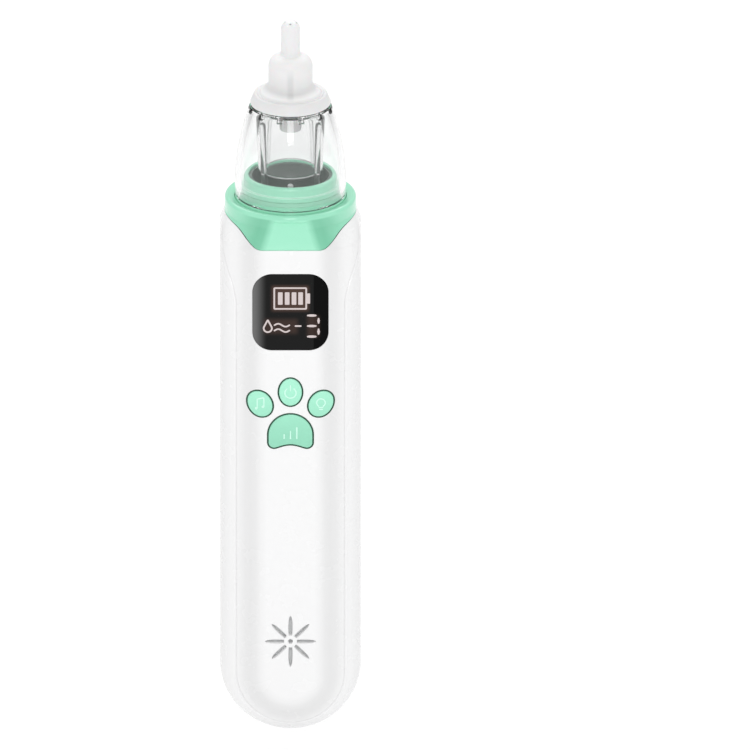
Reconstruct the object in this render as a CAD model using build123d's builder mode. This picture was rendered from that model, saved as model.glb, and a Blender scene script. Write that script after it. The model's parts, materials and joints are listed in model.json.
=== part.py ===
from build123d import *
import os
from math import cos, radians, sin

os.makedirs("parts", exist_ok=True)

# Electric nasal aspirator, held in one hand. Millimetres, +Z up the long axis, the display and
# buttons face -Y, and the origin is the lowest point of the rounded end, on the long axis.

# ---- Handle, outer form ---------------------------------------------------------------------
body_width = 38.0
body_depth = 36.0
edge_radius = 11.0          # round along the front and rear outlines
shoulder_z = 142.5          # top of the straight part of the handle
shoulder_rise = 5.6         # height of the tapered shoulder
collar_rise = 3.9           # height of the collar band above the shoulder
collar_radius = 17.65
collar_flat = 0.4           # short flat left on the almost round collar section
wall = 1.8
parting_gap = 0.1           # open line between outer pieces that meet
slip_fit = 0.08             # radial clearance of pieces that slide on each other
seat_fit = 0.05             # clearance of pieces that are seated and stay put
stand_off = 0.15            # axial gap where a moving piece comes to rest

# ---- Collar ---------------------------------------------------------------------------------
collar_rim_round = 0.9
sleeve_wall = 0.6           # inner sleeve that the shells close round
sleeve_depth = 4.5          # how far the sleeve reaches below the shoulder's top
bib_drop = 0.1              # bib's lower edge below the shoulder line, front and rear
bib_half = 9.4              # half width of the bib's lower edge
bib_knee = (12.4, 3.9)      # where the bib's side eases outwards, and its height above that edge
band_edge = (16.0, 5.3)     # where the bib runs into the band, and its height above that edge
bib_round = 2.4

# ---- Display --------------------------------------------------------------------------------
lens_width = 20.4
lens_height = 22.0
lens_corner = 5.3
lens_drop = 17.85           # display centre below the shoulder line
lens_thickness = 1.6
module_margin = 0.9         # lens edge to module edge
module_thickness = 2.0
bracket_wall = 1.6

# ---- Buttons --------------------------------------------------------------------------------
button_travel = 0.5
button_proud = 0.4
button_gap = 0.1            # cap to bezel
bezel_rim = 0.45            # dark rim round each cap, measured from the cap
bezel_sink = 0.1            # rim top below the handle's surface
bezel_plate = (25.0, 24.4, 4.0)
bezel_thickness = 0.7
cap_back_depth = 3.1        # cap underside below the front face
power_drop = 41.0           # button centres below the shoulder line
side_drop = 44.35
level_drop = 53.4
side_spread = 8.2
side_tilt = 33.0
power_size = (3.05, 3.88)
side_size = (3.11, 3.86)
level_radius = 5.9
level_skirt = 3.68          # round centre down to the lower edge
level_hollow_radius = 10.6  # concave lower edge
level_hollow = 1.0
level_corner = 1.4
plunger_radius = 1.7
plunger_length = 1.7
switch_size = 6.0
switch_height = 3.0

# ---- Boards and screws ----------------------------------------------------------------------
board_depth = 6.9           # front face of the main board below the front face of the handle
board_thickness = 1.2
board_half_width = 12.0
board_bottom = 42.0
board_top_drop = 3.5        # board top below the shoulder line
boss_radius = 2.2
boss_x = 9.5
boss_drops = (33.0, 64.5, 95.5)
screw_radius = 1.0
screw_head = (1.9, 1.2)
screw_length = 5.6

# ---- Speaker --------------------------------------------------------------------------------
grille_z = 28.9
petal_count = 8
petal_inner = 1.76
petal_tip = 7.15
petal_root = 0.6
petal_width = 1.3
grille_eye = 0.62
mesh_radius = 9.0
mesh_thickness = 0.3
speaker_radius = 10.0
speaker_rear_radius = 6.5
speaker_depth = 4.5

# ---- Battery --------------------------------------------------------------------------------
battery_radius = 7.1
battery_length = 49.4
battery_rear_gap = 4.1      # cell to the rear wall
battery_z = 30.0
contact_thickness = 0.8
contact_radius = 4.0
holder_wall = 1.3

# ---- Charging socket and its cover ----------------------------------------------------------
port_z = 24.0
socket_size = (8.94, 7.1, 3.2)
socket_slot = (9.6, 3.8)
charge_board = (16.0, 13.0, 1.2)
cover_size = (12.8, 6.8)
cover_thickness = 0.8
cover_corner = 1.5
cover_plug = (8.2, 2.4, 0.6)
cover_plug_corner = 1.1

# ---- Motor ----------------------------------------------------------------------------------
drive_rear_gap = 0.15       # cushion to the rear wall
motor_radius = 12.0
motor_length = 28.0
can_wall = 0.8
endcap_height = 2.0
shaft_radius = 1.0
shaft_clearance = 0.03
bush_radius = 3.0
bush_length = 2.3
rotor_gap = 0.6             # rotor to the magnets
rotor_margin = 4.0          # rotor to the can's ends
magnet_thickness = 1.6
magnet_arc = 130.0
commutator = (3.0, 2.7)
cushion_wall = 0.6
cushion_length = 14.0

# ---- Pump -----------------------------------------------------------------------------------
pump_top_drop = 8.5         # pump cover below the shoulder line
cover_height = 5.5
valve_height = 3.0
diaphragm_height = 1.5
frame_height = 12.0
frame_wall = 1.2
frame_floor = 1.2
frame_bore = 5.0
eccentric_radius = 4.2
eccentric_height = 4.9
eccentric_lift = 0.6
eccentric_cap = 1.3         # closed end above the shaft
crank_radius = 0.8
crank_offset = 1.6
crank_rise = 4.0
crank_lean = 1.2
swing_clear = 2.3           # swing plate to the frame's wall
swing_thickness = 2.0
swing_bore = 2.7
swing_drop = 3.1            # swing plate's top below the diaphragm
chamber_count = 3
chamber_clear = 1.2         # chambers to the frame's wall
chamber_radius = 3.4
chamber_depth = 2.6
chamber_stem = 1.0
nipple_radius = 2.0
nipple_bore = 1.2
nipple_length = 5.0
exhaust_offset = 7.0
exhaust_radius = 1.6
exhaust_length = 3.0
muffler = (3.2, 6.0)
hose_wall = 0.85

# ---- Base ring and well ---------------------------------------------------------------------
flange_gap = 0.14           # flange inside the collar's bore
plug_depth = 7.5            # base ring below the collar's top
skirt_seat = 1.76           # width of the flange that the dome's skirt stands on
lower_tier_height = 3.7
tier_step = 0.6
upper_tier_height = 2.6
tier_round = 0.9
ring_wall = 1.4
ledge_width = 2.2           # ledge that the well's liner rests on
liner_wall = 0.8
liner_floor = 1.2
liner_sink = 0.7            # liner's lip below the ring's top
liner_bottom_drop = 4.0     # liner's floor below the collar's top
seal_groove = (0.9, 1.2)    # depth, height
seal_lift = 1.2             # groove above the flange
valve_cap = (3.2, 1.2)
valve_stem = (1.1, 3.0)
light_board_bore = 3.3
light_board_gap = 0.2       # board inside the ledge
light_board_thickness = 1.2
light_board_drop = 1.2      # board's top below the liner's floor
led_radius = 0.85
led_wall_gap = 1.65         # LED to the liner's wall
led_proud = 2.3             # LED above the well's floor

# ---- Clear head -----------------------------------------------------------------------------
dome_wall = 1.6
dome_straight = 3.4         # straight skirt above the flange
dome_top_radius = 11.05
dome_height = 25.3          # skirt's lower edge to the dome's top edge
deck_thickness = 1.5
deck_proud = 0.5            # deck's top above the dome's top edge
deck_radius = 10.4
notch_count = 12
notch_size = (1.6, 0.5)
cup_wall = 1.2
cup_draft = 0.42            # tube's radius, top less bottom
cup_tube_length = 17.0
cup_rib_radius = 0.85
cup_rib_angle = 39.3        # from the X axis
cup_rib_clear = 0.5         # ribs inside the liner
cup_rib_sunk = 0.25         # rib's centre line outside the tube's lower radius
cup_rib_top_drop = 1.8      # rib tops below the deck
cup_rib_gap = 0.8           # rib feet above the well's floor

# ---- Silicone nozzle ------------------------------------------------------------------------
tip_radius = 2.58
nozzle_height = 23.9        # seat to tip
tip_length = 5.2            # straight part of the tip
bulb_radius = 5.95
bulb_shoulder = 3.15
bulb_top = 14.0             # heights above the seat
bulb_bottom = 6.9
bell_start = (7.1, 4.5)
rim_top = (9.65, 3.1)
rim_step = 0.35
rim_radius = 10.85
spigot_radius = 3.02
spigot_length = 7.6
nozzle_bore = 0.95
tip_hole_count = 5
tip_hole_radius = 0.35
tip_hole_angle = 42.0       # from the tip's axis
nozzle_travel = 25.0
head_travel = 40.0

# ---- Places worked out from the sizes above -------------------------------------------------
front_y = -body_depth / 2
rear_y = body_depth / 2
end_radius = body_width / 2
collar_z = shoulder_z + shoulder_rise
collar_top = collar_z + collar_rise
bib_bottom = shoulder_z - bib_drop
band_z = bib_bottom + band_edge[1]
inner_top = max(band_z, collar_z)
collar_bore = collar_radius - wall - stand_off - sleeve_wall
lens_z = shoulder_z - lens_drop
button_places = {
    "power": (0.0, shoulder_z - power_drop),
    "music": (-side_spread, shoulder_z - side_drop),
    "light": (side_spread, shoulder_z - side_drop),
    "level": (0.0, shoulder_z - level_drop),
}
board_front = front_y + board_depth
board_back = board_front + board_thickness
cap_back = front_y + cap_back_depth
battery_y = rear_y - wall - battery_rear_gap - battery_radius
drive_y = rear_y - wall - drive_rear_gap - cushion_wall - seat_fit - motor_radius
pump_top = shoulder_z - pump_top_drop
valve_top = pump_top - cover_height
diaphragm_top = valve_top - valve_height
frame_top = diaphragm_top - diaphragm_height
motor_top = frame_top - frame_height
motor_bottom = motor_top - motor_length
magnet_outer = motor_radius - can_wall
rotor_radius = magnet_outer - magnet_thickness - rotor_gap
frame_inner = motor_radius - frame_wall
swing_radius = frame_inner - swing_clear
chamber_ring = frame_inner - chamber_clear - chamber_radius
flange_radius = collar_bore - flange_gap
lower_tier_radius = flange_radius - skirt_seat
upper_tier_radius = lower_tier_radius - tier_step
well_radius = upper_tier_radius - ring_wall
well_ledge = well_radius - ledge_width
liner_outer = well_radius - seat_fit
liner_inner = liner_outer - liner_wall
led_y = liner_inner - led_wall_gap - led_radius
ring_bottom = collar_top - plug_depth
ledge_z = collar_top + lower_tier_height
ring_top = ledge_z + upper_tier_height
liner_bottom = collar_top - liner_bottom_drop
well_floor = liner_bottom + liner_floor
dome_bottom = collar_top + stand_off
dome_top = dome_bottom + dome_height
deck_top = dome_top + deck_proud
deck_bottom = deck_top - deck_thickness
dome_bore = lower_tier_radius + slip_fit
seat_z = deck_top + stand_off


def save(piece, name):
    """Labels a finished piece and writes it as its own file."""
    piece.part.label = name
    export_step(piece.part, f"parts/{name}.step")


def turned(points, at=(0.0, 0.0)):
    """A turned piece: its half profile, as (radius, height) corners, taken round a vertical axis."""
    with BuildPart() as piece:
        with BuildSketch(Plane((at[0], at[1], 0), x_dir=(1, 0, 0), z_dir=(0, -1, 0))):
            with BuildLine():
                Polyline(*points, close=True)
            make_face()
        revolve(axis=Axis((at[0], at[1], 0), (0, 0, 1)))
    return piece


def ring(outer, inner, low, high, at=(0.0, 0.0)):
    """A plain turned ring."""
    return turned([(inner, low), (outer, low), (outer, high), (inner, high)], at)


def disc(radius, low, high, at=(0.0, 0.0)):
    """A plain turned disc."""
    return turned([(0, low), (radius, low), (radius, high), (0, high)], at)


def block(size_x, size_y, size_z, low_corner):
    """A plain rectangular block, placed by its lowest corner."""
    with BuildPart() as piece:
        with Locations(low_corner):
            Box(size_x, size_y, size_z, align=(Align.MIN, Align.MIN, Align.MIN))
    return piece


def handle_form(inset, top):
    """The handle's solid outer form, set in by a distance on every side: a slab with a round lower
    end, rounded along both outlines, then a tapered shoulder up to an almost round collar."""
    half_width = body_width / 2 - inset
    half_depth = body_depth / 2 - inset
    collar_half = collar_radius - inset
    with BuildPart() as form:
        with BuildSketch(Plane.XZ):
            with Locations((0, end_radius)):
                Circle(half_width)
                Rectangle(2 * half_width, shoulder_z - end_radius, align=(Align.CENTER, Align.MIN))
        extrude(amount=half_depth, both=True)
        outlines = form.edges().filter_by(
            lambda edge: abs(edge.center().Y) > half_depth - 0.01 and edge.center().Z < shoulder_z - 0.01
        )
        fillet(outlines, radius=edge_radius - inset)
        with BuildSketch(Plane.XY.offset(shoulder_z)):
            RectangleRounded(2 * half_width, 2 * half_depth, edge_radius - inset)
        with BuildSketch(Plane.XY.offset(collar_z)):
            RectangleRounded(2 * collar_half, 2 * collar_half, collar_half - collar_flat / 2)
        loft(ruled=True)
        if top > collar_z:
            with BuildSketch(Plane.XY.offset(collar_z)):
                RectangleRounded(2 * collar_half, 2 * collar_half, collar_half - collar_flat / 2)
            extrude(amount=top - collar_z)
    return form.part


def bib_prism(drop):
    """The space above the collar's lower edge, moved down by a distance."""
    side = [
        (bib_half, bib_bottom - drop),
        (bib_knee[0], bib_bottom + bib_knee[1] - drop),
        (band_edge[0], band_z - drop),
        (body_width, band_z - drop),
        (body_width, collar_top + body_width),
    ]
    mirrored = [(-x, z) for x, z in reversed(side)]
    with BuildPart() as prism:
        with BuildSketch(Plane.XZ) as outline:
            with BuildLine():
                Polyline(*side, *mirrored, close=True)
            make_face()
            corners = outline.vertices().filter_by(
                lambda corner: corner.Y < collar_top and abs(corner.X) < body_width - 1
            )
            fillet(corners, radius=bib_round)
        extrude(amount=body_depth, both=True)
    return prism.part


def button_prism(name, grow, back, front):
    """A button's outline, grown all round, carried from one depth to another along Y."""
    x, z = button_places[name]
    tilt = {"power": 0.0, "music": side_tilt, "light": -side_tilt, "level": 0.0}[name]
    with BuildPart() as prism:
        with BuildSketch(Plane.XZ.offset(-back)):
            if name == "level":
                corner = level_corner + grow
                skirt = level_skirt + grow
                hollow_centre = z - level_skirt + level_hollow - level_hollow_radius
                with Locations((x, z)):
                    Circle(level_radius + grow)
                with Locations((x, z + (corner - skirt) / 2)):
                    RectangleRounded(2 * (level_radius + grow), skirt + corner, corner)
                with Locations((x, hollow_centre)):
                    Circle(level_hollow_radius - grow, mode=Mode.SUBTRACT)
            else:
                half_x, half_z = power_size if name == "power" else side_size
                with Locations((x, z)):
                    Ellipse(half_x + grow, half_z + grow, rotation=tilt)
        extrude(amount=back - front)
    return prism.part


def lens_prism(width, height, corner, back, front):
    """A rounded rectangle at the display, carried from one depth to another along Y."""
    with BuildPart() as prism:
        with BuildSketch(Plane.XZ.offset(-back)):
            with Locations((0, lens_z)):
                RectangleRounded(width, height, corner)
        extrude(amount=back - front)
    return prism.part


outer_form = handle_form(0.0, collar_top)
inner_form = handle_form(wall, inner_top)
front_reach = front_y - 2.0
boss_heights = [shoulder_z - drop for drop in boss_drops]
boss_places = [(x, z) for z in boss_heights for x in (-boss_x, boss_x)]


# ---- Front shell: moulded half with display window, button holes, grille and screw bosses -----
def grille_cut():
    """Eight leaf-shaped slots round a small hole, through the front wall."""
    middle = (petal_root + petal_tip) / 2
    with BuildSketch() as leaf:
        with BuildLine():
            ThreePointArc((petal_root, 0), (middle, petal_width / 2), (petal_tip, 0))
            ThreePointArc((petal_tip, 0), (middle, -petal_width / 2), (petal_root, 0))
        make_face()
    with BuildSketch() as leaves:
        with PolarLocations(0, petal_count):
            add(leaf.sketch)
        Circle(petal_inner, mode=Mode.SUBTRACT)
        Circle(grille_eye)
    with BuildPart() as cut:
        with BuildSketch(Plane.XZ.offset(-(front_y + 2 * wall))):
            with Locations((0, grille_z)):
                add(leaves.sketch)
        extrude(amount=3 * wall)
    return cut.part


with BuildPart() as front_shell:
    add(outer_form)
    add(inner_form, mode=Mode.SUBTRACT)
    split(bisect_by=Plane.XZ, keep=Keep.TOP)
    add(bib_prism(parting_gap), mode=Mode.SUBTRACT)
    with BuildSketch(Plane.XZ.offset(-board_front)):
        with Locations(*boss_places):
            Circle(boss_radius)
    extrude(amount=board_depth - wall / 2)
    with BuildSketch(Plane.XZ.offset(-board_front)):
        with Locations(*boss_places):
            Circle(screw_radius + seat_fit)
    extrude(amount=screw_length - board_thickness, mode=Mode.SUBTRACT)
    add(
        lens_prism(
            lens_width + 2 * parting_gap,
            lens_height + 2 * parting_gap,
            lens_corner + parting_gap,
            front_y + 2 * wall,
            front_reach,
        ),
        mode=Mode.SUBTRACT,
    )
    for name in button_places:
        add(
            button_prism(name, bezel_rim + seat_fit, front_y + 2 * wall, front_reach),
            mode=Mode.SUBTRACT,
        )
    add(grille_cut(), mode=Mode.SUBTRACT)
save(front_shell, "front_shell")


# ---- Rear shell: moulded half with the charging socket's slot and the cover's recess ----------
with BuildPart() as rear_shell:
    add(outer_form)
    add(inner_form, mode=Mode.SUBTRACT)
    split(bisect_by=Plane.XZ, keep=Keep.BOTTOM)
    add(bib_prism(parting_gap), mode=Mode.SUBTRACT)
    with BuildSketch(Plane.XZ.offset(-(rear_y + 1))):
        with Locations((0, port_z)):
            RectangleRounded(*socket_slot, socket_slot[1] / 2 - 0.1)
    extrude(amount=2 * wall + 1, mode=Mode.SUBTRACT)
    with BuildSketch(Plane.XZ.offset(-(rear_y + 1))):
        with Locations((0, port_z)):
            RectangleRounded(
                cover_size[0] + 2 * parting_gap,
                cover_size[1] + 2 * parting_gap,
                cover_corner + parting_gap,
            )
    extrude(amount=1 + cover_thickness + parting_gap, mode=Mode.SUBTRACT)
save(rear_shell, "rear_shell")


# ---- Collar: glossy band with a bib front and rear, and a sleeve inside the shells ------------
with BuildPart() as collar:
    add(outer_form)
    rim = collar.edges().filter_by(lambda edge: edge.center().Z > collar_top - 0.01)
    fillet(rim, radius=collar_rim_round)
    add(inner_form, mode=Mode.SUBTRACT)
    add(bib_prism(0.0), mode=Mode.INTERSECT)
    add(ring(collar_bore + sleeve_wall, collar_bore, collar_z - sleeve_depth, inner_top).part)
    add(disc(collar_bore, collar_z - sleeve_depth, collar_top + 1).part, mode=Mode.SUBTRACT)
save(collar, "collar")


# ---- Display: dark lens flush with the front, its module and the bracket that carries it ------
with BuildPart() as display_lens:
    add(lens_prism(lens_width, lens_height, lens_corner, front_y + lens_thickness, front_reach))
    add(outer_form, mode=Mode.INTERSECT)
save(display_lens, "display_lens")

module_width = lens_width - 2 * module_margin
module_height = lens_height - 2 * module_margin
module_front = front_y + wall + stand_off
module_back = module_front + module_thickness
with BuildPart() as display_module:
    add(lens_prism(module_width, module_height, 1.0, module_back, module_front))
save(display_module, "display_module")

with BuildPart() as display_bracket:
    add(lens_prism(module_width, module_height, 1.0, board_front, module_back))
    add(
        lens_prism(
            module_width - 2 * bracket_wall,
            module_height - 2 * bracket_wall,
            0.5,
            board_front,
            module_back,
        ),
        mode=Mode.SUBTRACT,
    )
save(display_bracket, "display_bracket")


# ---- Buttons: bezel with a dark rim round each cap, caps, switches and their plungers ---------
with BuildPart() as button_bezel:
    for name in button_places:
        add(button_prism(name, bezel_rim, cap_back, front_reach))
    add(handle_form(bezel_sink, collar_z), mode=Mode.INTERSECT)
    with BuildPart(mode=Mode.PRIVATE) as plate:
        with BuildSketch(Plane.XZ.offset(-cap_back)):
            with Locations((0, shoulder_z - (power_drop + level_drop) / 2 - 0.5)):
                RectangleRounded(*bezel_plate)
        extrude(amount=bezel_thickness)
        add(handle_form(wall + seat_fit, collar_z), mode=Mode.INTERSECT)
    add(plate.part)
    for name in button_places:
        add(button_prism(name, button_gap, cap_back + 1, front_reach), mode=Mode.SUBTRACT)
save(button_bezel, "button_bezel")

proud_form = handle_form(-button_proud, collar_z)
switch_front = board_front - switch_height
plunger_back = cap_back + plunger_length
for name, (x, z) in button_places.items():
    with BuildPart() as cap:
        add(button_prism(name, 0.0, cap_back, front_reach))
        add(proud_form, mode=Mode.INTERSECT)
    save(cap, f"{name}_button")

    with BuildPart() as plunger:
        with BuildSketch(Plane.XZ.offset(-plunger_back)):
            with Locations((x, z)):
                Circle(plunger_radius)
        extrude(amount=plunger_length)
    save(plunger, f"{name}_plunger")

    with BuildPart() as switch:
        with BuildSketch(Plane.XZ.offset(-board_front)):
            with Locations((x, z)):
                RectangleRounded(switch_size, switch_size, 0.5)
        extrude(amount=switch_height)
        with BuildSketch(Plane.XZ.offset(-switch_front)):
            with Locations((x, z)):
                Circle(plunger_radius + slip_fit)
        extrude(amount=-(plunger_back - switch_front + button_travel + 0.3), mode=Mode.SUBTRACT)
    save(switch, f"{name}_switch")


# ---- Main board and its screws ----------------------------------------------------------------
board_top = shoulder_z - board_top_drop
with BuildPart() as main_board:
    with BuildSketch(Plane.XZ.offset(-board_back)):
        with Locations((0, (board_top + board_bottom) / 2)):
            RectangleRounded(2 * board_half_width, board_top - board_bottom, 1.5)
        with Locations(*boss_places):
            Circle(screw_radius + parting_gap, mode=Mode.SUBTRACT)
    extrude(amount=board_thickness)
save(main_board, "main_board")

with BuildPart() as board_screws:
    with BuildSketch(Plane.XZ.offset(-board_back)):
        with Locations(*boss_places):
            Circle(screw_radius)
    extrude(amount=screw_length - 0.4)
    with BuildSketch(Plane.XZ.offset(-(board_back + screw_head[1]))):
        with Locations(*boss_places):
            Circle(screw_head[0])
    extrude(amount=screw_head[1])
save(board_screws, "board_screws")


# ---- Speaker behind the grille ----------------------------------------------------------------
mesh_front = front_y + wall + seat_fit
speaker_front = mesh_front + mesh_thickness
with BuildPart() as speaker_mesh:
    with BuildSketch(Plane.XZ.offset(-speaker_front)):
        with Locations((0, grille_z)):
            Circle(mesh_radius)
    extrude(amount=mesh_thickness)
save(speaker_mesh, "speaker_mesh")

with BuildPart() as speaker:
    speaker_back = speaker_front + speaker_depth
    with BuildSketch(Plane.XZ.offset(-speaker_back)):
        with Locations((0, grille_z)):
            Circle(speaker_rear_radius)
    extrude(amount=speaker_depth)
    with BuildSketch(Plane.XZ.offset(-(speaker_front + speaker_depth / 3))):
        with Locations((0, grille_z)):
            Circle(speaker_radius)
    extrude(amount=speaker_depth / 3)
save(speaker, "speaker")


# ---- Battery, its contacts and the open channel that holds it ---------------------------------
battery_top = battery_z + battery_length
battery_at = (0.0, battery_y)
with BuildPart() as battery:
    add(disc(battery_radius, battery_z, battery_top - 1.0, battery_at).part)
    add(disc(battery_radius / 3, battery_top - 1.0, battery_top, battery_at).part)
save(battery, "battery")

with BuildPart() as battery_contacts:
    add(disc(contact_radius, battery_z - contact_thickness, battery_z, battery_at).part)
    add(disc(contact_radius, battery_top, battery_top + contact_thickness, battery_at).part)
save(battery_contacts, "battery_contacts")

channel_half = battery_radius + holder_wall
channel_low = battery_z - contact_thickness
channel_high = battery_top + contact_thickness
channel_front = battery_y - channel_half
channel_rear = rear_y - wall - stand_off
with BuildPart() as battery_holder:
    add(
        block(
            2 * channel_half,
            channel_rear - channel_front,
            channel_high - channel_low + 2 * holder_wall,
            (-channel_half, channel_front, channel_low - holder_wall),
        ).part
    )
    add(disc(battery_radius + seat_fit, channel_low, channel_high, battery_at).part, mode=Mode.SUBTRACT)
    add(
        block(
            2 * (battery_radius + seat_fit),
            channel_rear,
            channel_high - channel_low,
            (-battery_radius - seat_fit, battery_y, channel_low),
        ).part,
        mode=Mode.SUBTRACT,
    )
save(battery_holder, "battery_holder")


# ---- Charging socket, its board, and the soft cover hinged along its top edge -----------------
socket_rear = rear_y - wall - seat_fit
socket_low = port_z - socket_size[2] / 2
with BuildPart() as charge_socket:
    with BuildSketch(Plane.XZ.offset(-socket_rear)):
        with Locations((0, port_z)):
            RectangleRounded(socket_size[0], socket_size[2], 1.2)
    extrude(amount=socket_size[1])
    with BuildSketch(Plane.XZ.offset(-socket_rear)):
        with Locations((0, port_z)):
            RectangleRounded(socket_size[0] - 0.6, socket_size[2] - 0.6, 0.9)
            Rectangle(socket_size[0] - 2.2, 0.7, mode=Mode.SUBTRACT)
    extrude(amount=socket_size[1] - 1.2, mode=Mode.SUBTRACT)
save(charge_socket, "charge_socket")

charge_board_piece = block(
    *charge_board,
    (-charge_board[0] / 2, socket_rear - charge_board[1], socket_low - charge_board[2]),
)
save(charge_board_piece, "charge_board")

cover_back = rear_y - cover_thickness
with BuildPart() as port_cover:
    with BuildSketch(Plane.XZ.offset(-rear_y)):
        with Locations((0, port_z)):
            RectangleRounded(*cover_size, cover_corner)
    extrude(amount=cover_thickness)
    with BuildSketch(Plane.XZ.offset(-cover_back)):
        with Locations((0, port_z)):
            RectangleRounded(cover_plug[0], cover_plug[1], cover_plug_corner)
    extrude(amount=cover_plug[2])
save(port_cover, "port_cover")


# ---- Motor: can, magnets, end cap, bushes, and the turning shaft, rotor and eccentric ---------
drive_at = (0.0, drive_y)
bush_high = motor_top - bush_length
bush_low = motor_bottom - endcap_height
can_profile = [
    (bush_radius, motor_top),
    (motor_radius, motor_top),
    (motor_radius, motor_bottom),
    (magnet_outer, motor_bottom),
    (magnet_outer, motor_top - can_wall),
    (bush_radius, motor_top - can_wall),
]
save(turned(can_profile, drive_at), "motor_can")
save(ring(motor_radius, bush_radius, bush_low, motor_bottom, drive_at), "motor_endcap")

with BuildPart() as motor_bushes:
    add(ring(bush_radius, shaft_radius + shaft_clearance, bush_high, motor_top, drive_at).part)
    add(ring(bush_radius, shaft_radius + shaft_clearance, bush_low, bush_low + bush_length, drive_at).part)
save(motor_bushes, "motor_bushes")

rotor_low = motor_bottom + rotor_margin
rotor_high = motor_top - can_wall - rotor_margin
with BuildPart() as motor_magnets:
    add(ring(magnet_outer, magnet_outer - magnet_thickness, rotor_low, rotor_high, drive_at).part)
    with BuildSketch(Plane((0, drive_y, rotor_low))) as gaps:
        for turn in (0, 180):
            with BuildLine():
                half_gap = (180 - magnet_arc) / 2
                reach = 2 * motor_radius
                spread = [(reach * cos(radians(turn + side)), reach * sin(radians(turn + side)))
                          for side in (-half_gap, half_gap)]
                Polyline((0, 0), *spread, close=True)
            make_face()
    extrude(amount=rotor_high - rotor_low, mode=Mode.SUBTRACT)
save(motor_magnets, "motor_magnets")

eccentric_low = motor_top + eccentric_lift
eccentric_high = eccentric_low + eccentric_height
shaft_top = eccentric_high - eccentric_cap
save(disc(shaft_radius, bush_low + stand_off, shaft_top, drive_at), "motor_shaft")

with BuildPart() as motor_rotor:
    add(ring(rotor_radius, shaft_radius, rotor_low, rotor_high, drive_at).part)
    add(ring(commutator[0], shaft_radius, rotor_low - commutator[1], rotor_low, drive_at).part)
    with BuildSketch(Plane((0, drive_y, rotor_low))):
        with PolarLocations(rotor_radius, 3, start_angle=90):
            Rectangle(2.4, 1.6)
    extrude(amount=rotor_high - rotor_low, mode=Mode.SUBTRACT)
save(motor_rotor, "motor_rotor")

crank_base = Plane(
    (crank_offset, drive_y, shaft_top + crank_radius / 2), x_dir=(0, 1, 0), z_dir=(-crank_lean, 0, crank_rise)
)
with BuildPart() as eccentric:
    add(ring(eccentric_radius, shaft_radius, eccentric_low, shaft_top, drive_at).part)
    add(disc(eccentric_radius, shaft_top, eccentric_high, drive_at).part)
    with BuildSketch(crank_base):
        Circle(crank_radius)
    extrude(amount=crank_rise + eccentric_cap)
save(eccentric, "eccentric")

cushion_low = motor_bottom + (motor_length - cushion_length) / 2
cushion_inner = motor_radius + seat_fit
save(
    ring(cushion_inner + cushion_wall, cushion_inner, cushion_low, cushion_low + cushion_length, drive_at),
    "motor_cushion",
)


# ---- Pump: frame, swing plate, diaphragm with its chambers, valve plate and cover -------------
frame_profile = [
    (frame_bore, motor_top),
    (motor_radius, motor_top),
    (motor_radius, frame_top),
    (frame_inner, frame_top),
    (frame_inner, motor_top + frame_floor),
    (frame_bore, motor_top + frame_floor),
]
save(turned(frame_profile, drive_at), "pump_frame")

swing_top = frame_top - swing_drop
save(ring(swing_radius, swing_bore, swing_top - swing_thickness, swing_top, drive_at), "swing_plate")

with BuildPart() as pump_diaphragm:
    add(disc(motor_radius, frame_top, diaphragm_top, drive_at).part)
    with BuildSketch(Plane((0, drive_y, frame_top - chamber_depth))):
        with PolarLocations(chamber_ring, chamber_count):
            Circle(chamber_radius)
    extrude(amount=chamber_depth)
    with BuildSketch(Plane((0, drive_y, swing_top))):
        with PolarLocations(chamber_ring, chamber_count):
            Circle(chamber_stem)
    extrude(amount=swing_drop - chamber_depth)
save(pump_diaphragm, "pump_diaphragm")

with BuildPart() as valve_plate:
    add(disc(motor_radius, diaphragm_top, valve_top, drive_at).part)
    with BuildSketch(Plane((0, drive_y, diaphragm_top))):
        with PolarLocations(chamber_ring, chamber_count):
            Circle(nipple_bore / 2)
    extrude(amount=valve_height, mode=Mode.SUBTRACT)
save(valve_plate, "valve_plate")

exhaust_at = (0.0, drive_y + exhaust_offset)
with BuildPart() as pump_cover:
    add(disc(motor_radius, valve_top, pump_top, drive_at).part)
    add(disc(nipple_radius, pump_top, pump_top + nipple_length).part)
    add(disc(exhaust_radius, pump_top, pump_top + exhaust_length, exhaust_at).part)
    add(disc(nipple_bore, valve_top + 1, pump_top + nipple_length).part, mode=Mode.SUBTRACT)
    add(
        disc(exhaust_radius / 2, valve_top + 1, pump_top + exhaust_length, exhaust_at).part,
        mode=Mode.SUBTRACT,
    )
save(pump_cover, "pump_cover")

muffler_low = pump_top + stand_off
with BuildPart() as exhaust_muffler:
    add(disc(muffler[0], muffler_low, muffler_low + muffler[1], exhaust_at).part)
    add(
        disc(exhaust_radius + seat_fit, muffler_low, pump_top + exhaust_length + stand_off, exhaust_at).part,
        mode=Mode.SUBTRACT,
    )
save(exhaust_muffler, "exhaust_muffler")

liner_nipple_low = liner_bottom - nipple_length
hose_bore = nipple_radius + seat_fit
save(
    ring(hose_bore + hose_wall, hose_bore, pump_top + stand_off, liner_bottom - stand_off),
    "inlet_hose",
)


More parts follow.
